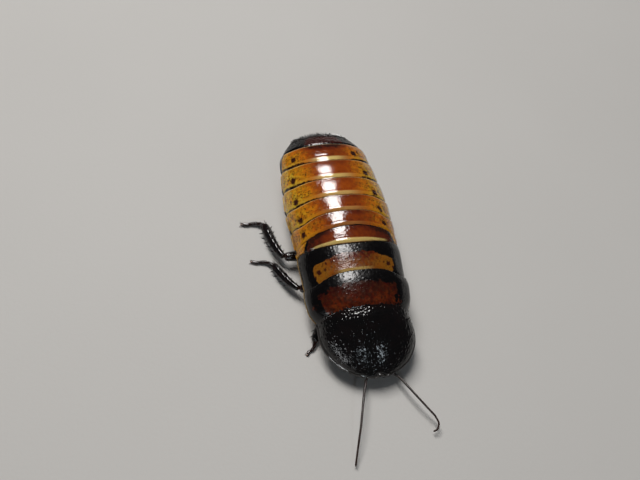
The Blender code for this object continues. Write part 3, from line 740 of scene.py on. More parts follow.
def mesonotum_masks(u, s, v, y, arc):
    """A wide blotchy red patch at the front, black behind it and at the sides."""
    lean = np.abs(u + PATCH_TURN)
    wander = 0.10 * ripple(arc, y, 1.1, SEED + 18)
    field = fall(0.42, 0.60, lean + wander) * fall(0.52, 0.78, v + 0.10 * lean + wander)
    mottle = 0.46 * bell(s, 0.74, 0.10) * bell(v, 0.35, 0.25)
    tone = 0.74 + 0.22 * ease(0.1, 0.7, v) - 0.06 * bell(lean, 0.25, 0.15)
    tone = tone + 0.10 * ripple(arc, y, 0.9, SEED + 20)
    blots = 0.40 + 0.35 * pebbles(arc, 0.7 * y, 1.1, SEED + 22, 0.45)
    # The rolled margin gets a pale painted highlight line, with no black.
    rolled = ease(0.955, 0.970, s)
    return dict(tone=tone, dark=(1 - 0.80 * field - mottle) * (1 - rolled), spot=blots * field,
                rough=0.25, speck=0.12, pale=0.3 * rolled)


def metanotum_masks(u, s, v, y, arc):
    """An amber band with a brown middle, two spots at each end and a pale front edge."""
    lean = np.abs(u + PATCH_TURN)
    wander = 0.25 * ripple(arc, y, 1.0, SEED + 19)
    top = 27.4 - 1.2 * ease(0.12, 0.42, lean)
    end = 0.52 - 0.05 * ease(24.0, 21.7, y) - 0.05 * ease(25.2, 26.6, y)
    field = fall(end - 0.02, end + 0.04, lean + 0.06 * wander) * fall(top - 0.5, top + 0.4, y + wander)
    centre = fall(0.2, 0.4, lean)
    tone = 0.46 - 0.38 * ease(0.18, 0.42, lean) + 0.26 * ease(24.6, 27.2, y) * (0.4 + 0.6 * centre)
    spots = [bell(np.hypot((lean - place) * HALF_ARC, y - at), 0, size)
             for place, at, size in ((0.44, 24.3, 0.7), (0.52, 23.4, 0.5))]
    blots = 0.26 + 0.42 * pebbles(arc, 0.6 * y, 1.0, SEED + 21, 0.42)
    blots = blots * ease(0.12, 0.25, v) * (1 - 0.25 * ease(0.3, 0.5, lean))
    # The rolled margin gets a painted highlight line: cream over a redder tone, with no black.
    rolled = ease(0.955, 0.970, s)
    front = 0.5 * fall(0.07, 0.12, v) * fall(0.08, 0.26, lean)
    return dict(tone=tone + 0.7 * rolled, dark=(1 - field) * (1 - rolled), spot=largest(*spots, blots),
                rough=0.25, speck=0.5, pale=np.maximum(front, 0.3 * rolled))


def make_thorax_plates():
    back_plate("mesonotum", 320, 84, thorax_relief, mesonotum_masks, "mahogany_shell", 0.12, rise=long_rise)
    back_plate("metanotum", 320, 76, thorax_relief, metanotum_masks, "amber_shell", 0.08, "mahogany_shell",
               long_rise)


PRONOTUM_COLUMNS = 308
PRONOTUM_ROWS = (122, 40)
FRONT_START = 0.015
PRONOTUM_EDGE = 0.03
GRAIN_HEIGHT = 0.17


def walked(grid, axis):
    """The distance along a grid of points, from its first column or row."""
    hops = np.linalg.norm(np.diff(grid, axis=axis), axis=2)
    start = np.zeros_like(np.take(hops, [0], axis=axis))
    return np.concatenate([start, np.cumsum(hops, axis=axis)], axis=axis)


def make_pronotum():
    """The shield: grains all over, a raised rim round its front and sides, two low swellings with a
    hollow between them, and a finely toothed rear edge."""
    u = across(PRONOTUM_COLUMNS)
    s = np.abs(u)
    front_rows, rear_rows = PRONOTUM_ROWS
    turn = math.pi / 2 * np.linspace(0.0, 1.0, front_rows)[:, None] ** 1.15
    front = SHIELD_WIDEST - (SHIELD_WIDEST - SHIELD_FRONT - FRONT_START) * np.cos(turn) + 0 * u
    teeth = 0.4 * (pebbles(u * TOOTH_ARC, 0 * u, 0.6, SEED + 4, 0.6) - 0.5) * fall(0.6, 0.8, s)
    rear = rear_edge("pronotum", u) + teeth
    back = SHIELD_WIDEST + (rear - SHIELD_WIDEST) * np.linspace(0, 1, rear_rows)[1:, None]
    y = np.concatenate([front, back])
    plain = on_back(y, u)
    x = plain[..., 0] - bent_grid(0, y, 0)[..., 0]
    aside, along, radius, height = SWELLING
    swelling = height * np.exp(-((np.abs(x) - aside) ** 2 + (y - along) ** 2) / radius**2)
    hollow = -0.12 * np.exp(-((x / 1.6) ** 2 + ((y - 5.4) / 2.2) ** 2))
    roll = 0.25 * bell(y, 12.2, 1.5) * bell(x, 0, 6.0)
    along_row = walked(plain, 1)
    arc = along_row - along_row[:, -1:] / 2
    inside = np.minimum(along_row[:, -1:] / 2 - np.abs(arc), walked(plain, 0))
    rim = 0.24 * bell(inside, 0.50, 0.24) - 0.12 * bell(inside, 1.05, 0.22)
    flat_y = y + plain[..., 2] * 0.6
    grain = np.maximum(0.35 * pebbles(arc, flat_y, 0.52, SEED + 9, 0.42),
                       pebbles(arc, flat_y, 1.0, SEED + 10, 0.42, 1.4)) * ease(0.9, 1.3, inside)
    lift = 0.4 * swelling + hollow + roll + rim + GRAIN_HEIGHT * grain + 0.05 * ripple(x, y, 2.2, SEED + 11)
    tail = ease(0.9, 1.0, (y - SHIELD_WIDEST) / (rear_edge("pronotum", u) - SHIELD_WIDEST))
    thick = 0.5 * (1 - 0.8 * tail) * (1 - 0.7 * ease(0.96, 1, s)) + PRONOTUM_EDGE
    outer = on_back(y, u, -PLATE_RISE * tail - lift * (1 - tail * 0.4))
    inner = on_back(y + 0.5 * fall(0, 3, y - SHIELD_FRONT), u, thick)
    shape = Shape()
    # The rim mask paints a grey highlight line along the raised rim of the front and sides.
    shape.add_sheet(outer, inner, tone=0.15 * ease(13.2, 14.6, y), grain=grain,
                    rim=bell(inside, 0.62, 0.20) * fall(13.5, 14.2, y))
    shape.piece("pronotum_shell", "black_shell", "pronotum")


# Underside.

BELLY_ENDS = (31.5, 64.2)
BELLY_FLOOR = ((31.5, 5.2), (36.6, 5.1), (41.5, 3.2), (50.0, 2.8), (58.0, 3.6), (64.2, 5.2))
BELLY_POWER = 2.6
STERNITES = 7
BELLY_COLUMNS = 120
TOP_DEPTH = 1.1
TOP_STEP = 4
THORAX_FLOOR = ((7.8, 4.0), (16.0, 5.2), (31.2, 5.2))
THORAX_FLOOR_WIDTH = 7.4
THORAX_FLOOR_SHARE = 0.6
THORAX_END = 31.15
THORAX_SEAMS = (16.2, 24.6)
SPIRACLE_PATH = ((0, 0), (0.16, 0.03), (0.20, 0.04))
SPIRACLE_SIZES = ((0.30, 0.28, 0.14), (0.36, 0.34, 0.2))


def make_belly():
    start, end = BELLY_ENDS
    length = (end - start) / STERNITES
    u = np.linspace(-1, 1, BELLY_COLUMNS)[None]
    s = np.abs(u)
    steps = np.concatenate([np.linspace(0, 0.9, 12), np.linspace(0.93, 0.995, 5)])
    rows = np.concatenate([k + steps for k in range(STERNITES)])[:, None]
    v = rows % 1.0
    y = np.clip(start + length * rows - 0.35 * s**2 * ease(0.3, 2, rows), start, end)
    step = 0.34 * v * fall(0.95, 1.0, v)
    side = curve(SIDE_HEIGHT, y) - 0.15
    angle = math.pi * (1 + u) / 2
    fold = -0.25 * bell(s, 0.80, 0.05)
    wide = half_width(y) - 0.62 + step * 0.4 + fold
    deep = side - curve(BELLY_FLOOR, y) - 0.3 + step + fold
    x = wide * np.sign(-np.cos(angle)) * np.abs(np.cos(angle)) ** (2 / BELLY_POWER)
    z = side - deep * np.sin(angle) ** (2 / BELLY_POWER) - 0.03 * ripple(x, y, 0.6, SEED + 12)
    pleura = ease(0.80, 0.84, s) * fall(0.93, 0.97, s)
    tone = 0.25 + 0.45 * ease(0.6, 0.95, v) + 0.35 * ease(0.45, 0.8, s)
    shape = Shape()
    shape.add_belly(bent_grid(x, y, z), on_back(y[:, ::TOP_STEP], -u[:, ::TOP_STEP], TOP_DEPTH), tone=tone,
                    skin=0.8 * np.maximum(pleura, ease(0.975, 0.995, v)))
    for k in range(1, STERNITES):
        at = start + length * (k + 0.25)
        reach = (float(half_width(at)) - 0.66) * 0.985
        for sign in (-1, 1):
            point = bent([sign * reach, at, float(curve(SIDE_HEIGHT, at)) - 0.85])
            path = [point + np.array([sign * out, 0, -down]) for out, down in SPIRACLE_PATH]
            shape.add_loft(tube(path, *SPIRACLE_SIZES, 14), tone=1.0)
    shape.piece("belly_skin", "brown_underside", "abdomen")


def make_breast():
    y = np.linspace(THORAX_START + 0.05, THORAX_END, 90)[:, None]
    u = np.linspace(-1, 1, 100)[None]
    s = np.abs(u)
    side = curve(SIDE_HEIGHT, y)
    floor = curve(THORAX_FLOOR, y)
    wide = half_width(y) - 1.35
    flat, share = THORAX_FLOOR_WIDTH, THORAX_FLOOR_SHARE
    x = np.sign(u) * np.where(s < share, s / share * flat, flat + (s - share) / (1 - share) * (wide - flat))
    rise = ease(0.5, 1.0, s)
    seams = sum(bell(y, seam, 0.5) for seam in THORAX_SEAMS)
    bulge = 0.35 * bell(s, 0.0, 0.12) * (1 - seams) - 0.3 * seams
    z = floor + (side - 0.3 - floor) * rise - bulge * (1 - rise) + 0.08 * ripple(x, y, 0.8, SEED + 14)
    skin = 0.75 * np.clip(seams + bell(s, 0.3, 0.08) + ease(0.55, 0.8, s), 0, 1)
    shape = Shape()
    shape.add_belly(bent_grid(x, y, np.maximum(z, floor - 0.25)),
                    on_back(y + 0 * u[:, ::TOP_STEP], -u[:, ::TOP_STEP], TOP_DEPTH),
                    tone=0.35 + 0.3 * bell(s, 0, 0.15), skin=skin)
    shape.piece("breast_skin", "brown_underside", "thorax")


# Each row: distance behind the start of the tail, height and half width.
SUPRA_ANAL_PLATE = ((0.0, 8.1, 4.3), (1.6, 8.0, 4.0), (2.6, 7.9, 3.1), (3.2, 7.8, 1.6))
SUBGENITAL_PLATE = ((0.0, 6.0, 4.3), (1.2, 5.9, 3.9), (2.0, 5.9, 3.0), (2.5, 5.9, 1.6))
# Each row: distance behind the start of the tail, distance from the middle line and radius.
CERCUS = ((0.0, 5.2, 0.5), (0.95, 5.55, 0.5), (1.9, 5.9, 0.36), (2.9, 6.3, 0.16))
CERCUS_HEIGHT = 7.0
CERCUS_STEPS = 60
CERCUS_RINGS = 9
CERCUS_HAIRS = 46
END_PLATE_HAIRS = 36
TAIL_START = 64.5


def make_end_plate(node, table, slot, up, rng):
    length = table[-1][0]
    t = np.sin(np.linspace(0, math.pi / 2, 26))[:, None] * (length - 0.02)
    wide = column(table, 2, t) * np.sqrt(np.clip(1 - (t / (length + 0.35)) ** 8, 0, 1))
    u = np.linspace(-1, 1, 60)[None]
    height = column(table, 1, t)
    x = wide * u
    y = TAIL_START + t - 0.35 * bell(u, 0, 0.16) * ease(0.7, 1.0, t / length)
    crown = 0.42 * dome(u) * up
    outer = bent_grid(x, y, height + crown + 0.06 * pebbles(x, y, 0.5, SEED + 21) * up)
    inner = bent_grid(x, y, height - 0.3 * up + crown * 0.5)
    shape = Shape()
    shape.add_sheet(outer, inner, tone=0.5)
    back, middle_height, half = table[2]
    for _ in range(END_PLATE_HAIRS):
        a = rng.uniform(-0.95, 0.95)
        root = bent([a * half, TAIL_START + back + 0.3 * (1 - abs(a)), middle_height])
        way = (a * 0.8, 1, rng.uniform(-0.3, 0.3))
        hair(shape, root, way, rng.uniform(0.35, 0.6), 0.035, sides=4)
    shape.skin(node, slot)


def make_cercus(side, sign, rng):
    places = [bent([sign * x, TAIL_START + reach, CERCUS_HEIGHT]) for reach, x, _ in CERCUS]
    path = through(places, CERCUS_STEPS)
    t = np.linspace(0, 1, CERCUS_STEPS)
    ring = np.abs(np.sin(t * CERCUS_RINGS * math.pi))
    radii = [(k / (len(CERCUS) - 1), row[2]) for k, row in enumerate(CERCUS)]
    size = curve(radii, t) * (0.86 + 0.14 * np.sqrt(ring))
    shape = Shape()
    shape.add_loft(tube(path, size, size * 0.85, 18), tone=0.4 + 0.4 * t, joint=0.6 * (1 - ring) ** 3)
    for _ in range(CERCUS_HAIRS):
        at = int(rng.uniform(4, 56))
        along, level, upright = frame_of(path[at + 1] - path[at])
        out = way_out(level, upright, rng.uniform(0, 2 * math.pi))
        root = path[at] + out * size[at] * 0.8
        hair(shape, root, out + along * 0.5, rng.uniform(0.25, 0.5), 0.02, sides=4)
    shape.skin("cercus_" + side, "dark_leg")


def make_tail():
    rng = np.random.default_rng(SEED + 20)
    make_end_plate("supra_anal_plate", SUPRA_ANAL_PLATE, "black_shell", 1, rng)
    make_end_plate("subgenital_plate", SUBGENITAL_PLATE, "brown_underside", -1, rng)
    for side, sign in SIDES:
        make_cercus(side, sign, rng)


# Head. Each ring: place along the head, half its width and half its depth.

HEAD_TOP = np.array((0.0, 4.0, 5.8))
HEAD_END = np.array((0.0, 6.0, 1.8))
HEAD_RINGS = ((0.0, 1.0, 0.7), (0.08, 2.1, 1.3), (0.25, 3.0, 1.75), (0.45, 3.3, 1.85),
              (0.65, 3.0, 1.7), (0.85, 2.3, 1.45), (1.0, 1.9, 1.15))
HEAD_AXIS = unit(HEAD_END - HEAD_TOP)
HEAD_FACE = np.cross(HEAD_AXIS, ACROSS)
SOCKET_RINGS = ((0.78, -0.05), (0.74, 0.10), (0.62, 0.16), (0.52, 0.08), (0.45, -0.05))
SOCKET_PLACE = 0.52
SOCKET_TURN = 0.075
OCELLUS_PLACE = 0.40
OCELLUS_TURN = 0.085
OCELLUS_HEIGHTS = (-0.1, 0.05, 0.09)
OCELLUS_SIZES = ((0.26, 0.24, 0.12), (0.3, 0.27, 0.14))
EYE_PLACE = 0.38
EYE_TURN = 0.02
EYE_SIZE = (0.24, 0.095)
EYE_BULGE = 0.62
GAP = 0.3
LABRUM = ((0.0, 1.3, 0.35), (0.45, 1.15, 0.32), (0.85, 0.7, 0.25))
LABRUM_AHEAD = 0.62
MANDIBLE = ((0.0, 0.6, 0.35), (0.4, 0.55, 0.35), (0.75, 0.3, 0.25))
MANDIBLE_ASIDE = 0.95
MANDIBLE_BEHIND = 0.45
MANDIBLE_HOOK = 0.3
MANDIBLE_STEPS = 20
PALP_HINGE = (0.93, 0.34, 0.54)
PALP = ((0.0, 0.0, 0.0), (0.9, 0.1, -0.35), (1.4, -1.0, -0.9), (1.2, -2.1, -1.15))
PALP_JOINTS = (0.12, 0.36, 0.66)
PALP_STEPS = 60


def head_place(place, turn, proud=0.0):
    """A point of the head, this share of a turn round it, before the head leans."""
    wide = column(HEAD_RINGS, 1, place) + proud
    deep = column(HEAD_RINGS, 2, place) + proud
    angle = 2 * math.pi * turn
    centre = HEAD_TOP + (HEAD_END - HEAD_TOP) * place[..., None]
    aside = ACROSS * (wide * np.cos(angle))[..., None]
    return centre + aside + HEAD_FACE * (deep * np.sin(angle))[..., None]


def head_point(place, turn, proud=0.0):
    return bent(head_place(*np.broadcast_arrays(place, turn, proud)))


def make_head():
    place = np.linspace(0.0, 1.0, 90)[:, None]
    turn = np.arange(120)[None] / 120
    face = bell(turn, 0.25, 0.16)
    suture = bell(place, 0.78, 0.012) * face + bell(turn, 0.25, 0.006) * fall(0.3, 0.45, place) * 0.8
    cheeks = 0.12 * bell(place, 0.62, 0.12) * (bell(turn, 0.10, 0.05) + bell(turn, 0.40, 0.05))
    dents = 0.10 * bell(place, 0.86, 0.05) * (bell(turn, 0.17, 0.04) + bell(turn, 0.33, 0.04))
    proud = cheeks - 0.08 * suture - dents + 0.03 * ripple(place * 6, turn * 40, 0.5, SEED + 30)
    tone = 0.35 * fall(0.1, 0.5, place) + 0.5 * ease(0.74, 0.9, place) * face
    shape = Shape()
    shape.add_loft(head_point(place, turn, proud), tone=np.clip(tone, 0, 1), joint=0.5 * suture)
    for _, sign in SIDES:
        round_it = np.linspace(0, 2 * math.pi, 24, endpoint=False)
        rows = [head_point(SOCKET_PLACE + radius * 0.22 * np.sin(round_it),
                           0.25 - sign * SOCKET_TURN + radius * 0.052 * np.cos(round_it), height)
                for radius, height in SOCKET_RINGS]
        shape.add_loft(rows, tone=0.3, joint=[0, 0.1, 0.3, 0.8, 1.0])
        spot_turn = 0.25 - sign * OCELLUS_TURN
        spot = head_point(OCELLUS_PLACE, spot_turn, 0.02)
        out = unit(head_point(OCELLUS_PLACE, spot_turn, 1.0) - spot)
        path = [spot + out * height for height in OCELLUS_HEIGHTS]
        shape.add_loft(tube(path, *OCELLUS_SIZES, 16), joint=1.0)
    shape.skin("head", "dark_head")
    make_eyes()


def make_eyes():
    up = np.linspace(-1, 1, 41)[:, None]
    over = np.linspace(-1, 1, 33)[None]
    place = EYE_PLACE + EYE_SIZE[0] * up
    for (side, sign), middle in zip(SIDES, (EYE_TURN, 0.5 - EYE_TURN)):
        kidney = 0.012 * bell(up, 0.35, 0.3) * sign
        at = middle + EYE_SIZE[1] * over * (0.25 + 0.75 * dome(up)) + kidney
        shape = Shape()
        shape.add_sheet(head_point(place, at, 0.04 + EYE_BULGE * dome(over) * dome(up) ** 0.6),
                        head_point(place, at, -0.1))
        shape.piece(f"eye_{side}_lens", "eye", "eye_" + side)


def make_mouthparts():
    start = HEAD_END + HEAD_AXIS * GAP
    t = np.linspace(0, 1, 22)
    reach = t * LABRUM[-1][0]
    path = start + HEAD_FACE * LABRUM_AHEAD + HEAD_AXIS * (reach - 0.25 * (1 - t))[:, None]
    deep = column(LABRUM, 2, reach) * (1 - 0.3 * bell(t, 0.5, 0.1))
    shape = Shape()
    shape.add_loft(bent(tube(path, column(LABRUM, 1, reach), deep, 28)), tone=0.6 + 0.3 * t,
                   joint=0.9 * fall(0.0, 0.25, t))
    shape.skin("labrum", "dark_head")
    for side, sign in SIDES:
        make_mandible(side, sign, start)
        make_palp(side, sign)


def make_mandible(side, sign, start):
    root = start + ACROSS * sign * MANDIBLE_ASIDE - HEAD_FACE * MANDIBLE_BEHIND
    path = [root + HEAD_AXIS * row[0] for row in MANDIBLE]
    path[-1] = path[-1] - ACROSS * sign * MANDIBLE_HOOK
    t = np.linspace(0, 1, MANDIBLE_STEPS)
    wide, deep = (curve([(j / 2, row[k]) for j, row in enumerate(MANDIBLE)], t) for k in (1, 2))
    teeth = 1 + 0.10 * np.sin(9 * t) * ease(0.4, 0.8, t)
    shape = Shape()
    shape.add_loft(bent(tube(through(path, MANDIBLE_STEPS), wide * teeth, deep, 20)), tone=0.1)
    shape.skin("mandible_" + side, "dark_head")


def make_palp(side, sign):
    place, turn, proud = PALP_HINGE
    hinge = head_place(np.array(place), 0.25 - sign * turn, proud)
    path = through([hinge + np.array((sign * out, y, z)) for out, y, z in PALP], PALP_STEPS)
    t = np.linspace(0, 1, PALP_STEPS)
    nip = sum(bell(t, joint, 0.02) for joint in PALP_JOINTS)
    size = (0.22 + 0.08 * ease(0.6, 0.95, t)) * (1 - 0.4 * nip)
    size[-3:] *= (0.9, 0.7, 0.35)
    shape = Shape()
    shape.add_loft(bent(tube(path, size, size, 18)), tone=0.6, joint=0.9 * nip)
    shape.skin("palp_" + side, "feeler")


# Antennae.

ANTENNAE = {
    "right": ((-1.8, 0.4, 3.05), (-3.0, -2.6, 3.5), (-4.0, -5.6, 3.6), (-4.9, -8.5, 3.3),
              (-5.8, -11.1, 2.7), (-6.6, -13.6, 1.9), (-7.4, -16.1, 1.0)),
    "left": ((6.1, 0.7, 3.0), (7.5, -1.9, 3.4), (8.9, -4.4, 3.5), (10.5, -6.9, 3.2),
             (12.0, -9.1, 2.6), (12.4, -10.5, 2.1), (11.8, -11.5, 1.6), (11.0, -11.7, 1.3)),
}
ANTENNA_RADII = (0.36, 0.25)
ANTENNA_STEP = 0.055
ANTENNA_HAIRS = 26


def make_antennae():
    rng = np.random.default_rng(SEED + 40)
    for side, sign in SIDES[::-1]:
        make_antenna(side, 0.25 - SOCKET_TURN * sign, rng)


def make_antenna(side, turn, rng):
    """A feeler: a thick first joint, a short second one and a whip of rings that grow longer."""
    socket = head_point(SOCKET_PLACE, turn)
    outward = unit(head_point(SOCKET_PLACE, turn, 1.0) - socket)
    route = [socket + outward * 0.05] + [np.array(place) for place in ANTENNAE[side]]
    total = sum(np.linalg.norm(b - a) for a, b in zip(route, route[1:]))
    steps = int(total / ANTENNA_STEP)
    path = through(route, steps)
    at = np.linspace(0, total, steps)
    ring = 0.16 + 0.26 * ease(0, total * 0.6, at)
    swell = 0.88 + 0.12 * np.abs(np.sin(np.cumsum(np.gradient(at) / ring) * math.pi)) ** 0.6
    size = np.linspace(ANTENNA_RADII[0] * 0.86, ANTENNA_RADII[1] * 0.84, steps) * swell
    scape = ease(0.25, 0.5, at) * fall(1.5, 1.75, at)
    pedicel = ease(1.75, 1.95, at) * fall(2.3, 2.45, at)
    nip = bell(at, 0.15, 0.12) + bell(at, 1.72, 0.07) + bell(at, 2.42, 0.05)
    size = size * (1 + 0.32 * scape + 0.1 * pedicel) * (1 - 0.35 * nip)
    size[-6:] *= np.linspace(1, 0.35, 6)
    shape = Shape()
    shape.add_loft(tube(path, size, size, 14), tone=0.35 + 0.5 * ease(0.3, 1.0, at / total),
                   joint=np.clip(0.8 * nip, 0, 1))
    for _ in range(int(total * ANTENNA_HAIRS)):
        k = int(rng.uniform(0.1, 0.995) * (steps - 2))
        spin = rng.uniform(0, 2 * math.pi)
        along, level, upright = frame_of(path[k + 1] - path[k])
        out = way_out(level, upright, spin)
        hair(shape, path[k] + out * size[k] * 0.8, out * 0.6 + along, rng.uniform(0.12, 0.22), 0.012)
    shape.skin("antenna_" + side, "feeler")


# Legs: coxa root, coxa end, knee, ankle and claw tip.

LEGS = {
    "front_right": ((-4.4, 8.8, 2.9), (-2.8, 14.6, 2.4), (-8.9, 16.0, 3.2),
                    (-10.9, 12.4, 1.1), (-12.9, 10.0, 0.0)),
    "middle_right": ((-5.0, 18.0, 3.9), (-2.9, 24.9, 2.7), (-12.5, 25.2, 3.5),
                     (-17.35, 33.6, 1.2), (-22.2, 35.4, 0.0)),
    "hind_right": ((-5.2, 27.0, 3.9), (-2.9, 34.2, 2.6), (-14.7, 34.1, 3.6),
                   (-17.9, 45.2, 1.3), (-23.2, 46.5, 0.0)),
    "front_left": ((4.8, 8.8, 2.9), (3.0, 14.6, 2.4), (8.6, 14.8, 3.2),
                   (10.2, 10.4, 1.1), (11.0, 6.9, 0.0)),
    "middle_left": ((5.0, 18.0, 3.9), (2.9, 24.9, 2.7), (11.0, 23.4, 3.4),
                    (12.7, 32.3, 1.2), (14.1, 37.2, 0.0)),
    "hind_left": ((5.2, 27.0, 3.9), (2.9, 34.2, 2.6), (11.0, 38.4, 3.5),
                  (12.6, 49.6, 1.3), (13.6, 55.0, 0.0)),
}
COXA_RADII = ((1.5, 0.85), (1.75, 1.0), (1.0, 0.8))
FEMUR_RADII = ((0.85, 0.8), (1.3, 1.05), (0.95, 0.85))
TIBIA_RADII = ((0.66, 0.64), (0.86, 0.78), (1.0, 0.88), (1.04, 0.86), (0.86, 0.76))
TOP_TURN = math.pi * 0.5
UNDER_TURN = math.pi * 1.5
LEG_SCALE = {"front": 0.84, "middle": 1.0, "hind": 1.12}
FEMUR_SPINES = 9
FEMUR_HAIRS = 60
TIBIA_STEPS = 110
SPINES = {"front": 8, "middle": 12, "hind": 16}
SPINE_TURNS = (-20, 80, 200)
SPINE_LENGTH = 1.25
SPINE_LEAN = 0.62
SPINE_RADIUS = 0.21
ANKLE_SPINE_TURNS = (-60, 0, 60, 130, 180, 240)
TIBIA_HAIRS = 90
TIBIA_BOW = {"front": 0.2, "middle": 0.5, "hind": 0.55}
TARSUS_STEPS = 100
TARSUS_RADII = (0.40, 0.50)
TARSUS_ARCH = 0.35
TARSUS_JOINTS = np.array((0.0, 0.30, 0.43, 0.54, 0.64, 1.0))
TARSUS_DESCENT = 0.26
TARSUS_HAIRS = 50
CLAW_LENGTH = 1.1
MARGIN_BRISTLES = 14
TAIL_BRISTLES = 320
LOBE_PLACES = (-0.2, 0.15, 0.38, 0.5)
LOBE_SIZES = ((0.12, 0.22, 0.2, 0.06), (0.1, 0.12, 0.1, 0.04))


def limb(shape, ends, radii, size, grid, round_ends, relief, bow=(0, 0, 0), **masks):
    """A length of leg with rounded ends: returns its path and its half sizes."""
    start, end = ends
    steps, sides = grid
    t = np.linspace(0, 1, steps)
    path = start + (end - start) * t[:, None] + np.asarray(bow) * np.sin(math.pi * t**0.7)[:, None]
    places = np.linspace(0, 1, len(radii))
    wide, deep = (curve(list(zip(places, row)), t) * size for row in zip(*radii))
    length = np.linalg.norm(end - start)
    for reach, near in zip(round_ends, (t * length, (1 - t) * length)):
        cap = np.sqrt(np.clip(1 - (1 - np.clip(near / reach, 0, 1)) ** 2, 0.04, 1))
        wide, deep = wide * cap, deep * cap
    scale = 1 + relief(t[:, None], ring_angles(sides)[None])
    rings = path[:, None] + (tube(path, wide, deep, sides) - path[:, None]) * scale[..., None]
    shape.add_loft(rings, **{name: value(t) for name, value in masks.items()})
    return path, wide, deep


def make_leg(name, places):
    rng = np.random.default_rng(SEED + 50 + list(LEGS).index(name))
    pair = name.split("_")[0]
    size = LEG_SCALE[pair]
    root, trochanter, knee, ankle, tip = (np.array(p) for p in places)
    make_coxa(name, size, root, trochanter)
    make_femur(name, size, trochanter, knee, rng)
    make_tibia(name, size, pair, knee, ankle, rng)
    make_tarsus(name, size, ankle, tip, rng)


def make_coxa(name, size, root, trochanter):
    def relief(t, angle):
        ridge = 0.10 * bell(angle, TOP_TURN, 0.25) * bell(t, 0.45, 0.35)
        flute = 0.05 * bell(angle, UNDER_TURN, 0.3)
        return ridge - flute + 0.02 * ripple(t * 8, angle * 2, 0.6, SEED)

    shape = Shape()
    limb(shape, (root, trochanter), COXA_RADII, size, (70, 36), (1.2, 0.5), relief,
         tone=lambda t: 0.35 + 0.3 * ease(0.7, 1, t), joint=lambda t: 0.6 * fall(0.0, 0.08, t))
    shape.skin("coxa_" + name, "dark_leg")


def make_femur(name, size, trochanter, knee, rng):
    def relief(t, angle):
        ridge = 0.05 * bell(angle, TOP_TURN, 0.4)
        flute = 0.06 * bell(angle, UNDER_TURN, 0.35) * bell(t, 0.55, 0.35)
        return ridge - flute + 0.015 * ripple(t * 9, angle * 2, 0.5, SEED + 2)

    shape = Shape()
    along, level, upright = frame_of(knee - trochanter)
    limb(shape, (trochanter, knee), FEMUR_RADII, size, (80, 32), (0.5, 0.7), relief,
         tone=lambda t: 0.12 + 0.35 * ease(0.85, 1, t), joint=lambda t: 0.8 * fall(0.0, 0.04, t))
    for k in range(FEMUR_SPINES):
        foot = trochanter + (knee - trochanter) * (0.2 + 0.68 * k / (FEMUR_SPINES - 1))
        for row in (-1, 1):
            out = unit(-upright * 0.75 + level * row * 0.65)
            spike(shape, foot + out * 0.72 * size, out + along * 0.7, rng.uniform(0.5, 0.8) * size,
                  0.09 * size, tone=0.5)
    for _ in range(FEMUR_HAIRS):
        share, spin = rng.uniform(0.1, 0.95), rng.uniform(0, 2 * math.pi)
        out = way_out(level, upright, spin)
        foot = trochanter + (knee - trochanter) * share + out * 0.85 * size
        hair(shape, foot, out * 0.6 + along, rng.uniform(0.15, 0.3), 0.014)
    shape.skin("femur_" + name, "dark_leg")


def make_tibia(name, size, pair, knee, ankle, rng):
    shape = Shape()
    along, level, upright = frame_of(ankle - knee)
    spines = [(share, math.radians(SPINE_TURNS[k % 3] + rng.uniform(-12, 12)))
              for k, share in enumerate(np.linspace(0.14, 0.84, SPINES[pair]))]

    def relief(t, angle):
        """Four blunt edges, and a knob under each spine."""
        rise = 0.04 * np.cos(angle * 4) + 0.02 * ripple(t * 10, angle * 2, 0.5, SEED + 3)
        for share, turn in spines:
            aside = (angle - turn + math.pi) % (2 * math.pi) - math.pi
            rise = rise + 0.16 * bell(t, share, 0.025) * bell(aside, 0, 0.45)
        return rise

    bow = level * np.sign(level[0] * knee[0]) * TIBIA_BOW[pair]
    path, wide, deep = limb(shape, (knee, ankle), TIBIA_RADII, size, (TIBIA_STEPS, 32), (0.5, 0.5), relief,
                            bow, tone=lambda t: 0.02 + 0.15 * ease(0.8, 1, t),
                            joint=lambda t: 0.25 * fall(0.0, 0.03, t))
    for share, turn in spines:
        at = int(share * (TIBIA_STEPS - 1))
        out = way_out(level, upright, turn)
        skin = math.hypot(wide[at] * math.cos(turn), deep[at] * math.sin(turn))
        foot = path[at] + out * 0.7 * skin
        reach = SPINE_LENGTH * size * rng.uniform(0.85, 1.15)
        goal = path[at] + out * (skin + SPINE_LEAN * reach) + along * SPINE_LEAN * reach
        goal[2] = max(goal[2], 0.25)
        spike(shape, foot, goal - foot, np.linalg.norm(goal - foot), SPINE_RADIUS * size, bend=along * 0.06,
              sides=9, rings=8, tone=0.1)
    for turn in ANKLE_SPINE_TURNS:
        out = way_out(level, upright, math.radians(turn))
        foot = ankle - along * 0.45 + out * 0.4 * size
        goal = ankle + out * 0.85 * size + along * 0.75 * size
        goal[2] = max(goal[2], 0.2)
        spike(shape, foot, goal - foot, np.linalg.norm(goal - foot), 0.13 * size, sides=8, tone=0.3)
    for _ in range(TIBIA_HAIRS):
        share, spin = rng.uniform(0.05, 0.97), rng.uniform(0, 2 * math.pi)
        out = way_out(level, upright, spin)
        at = int(share * (TIBIA_STEPS - 1))
        root = path[at] + out * 0.9 * deep[at]
        hair(shape, root, out * 0.7 + along, rng.uniform(0.2, 0.4), 0.018, tone=0.6)
    shape.skin("tibia_" + name, "dark_leg")


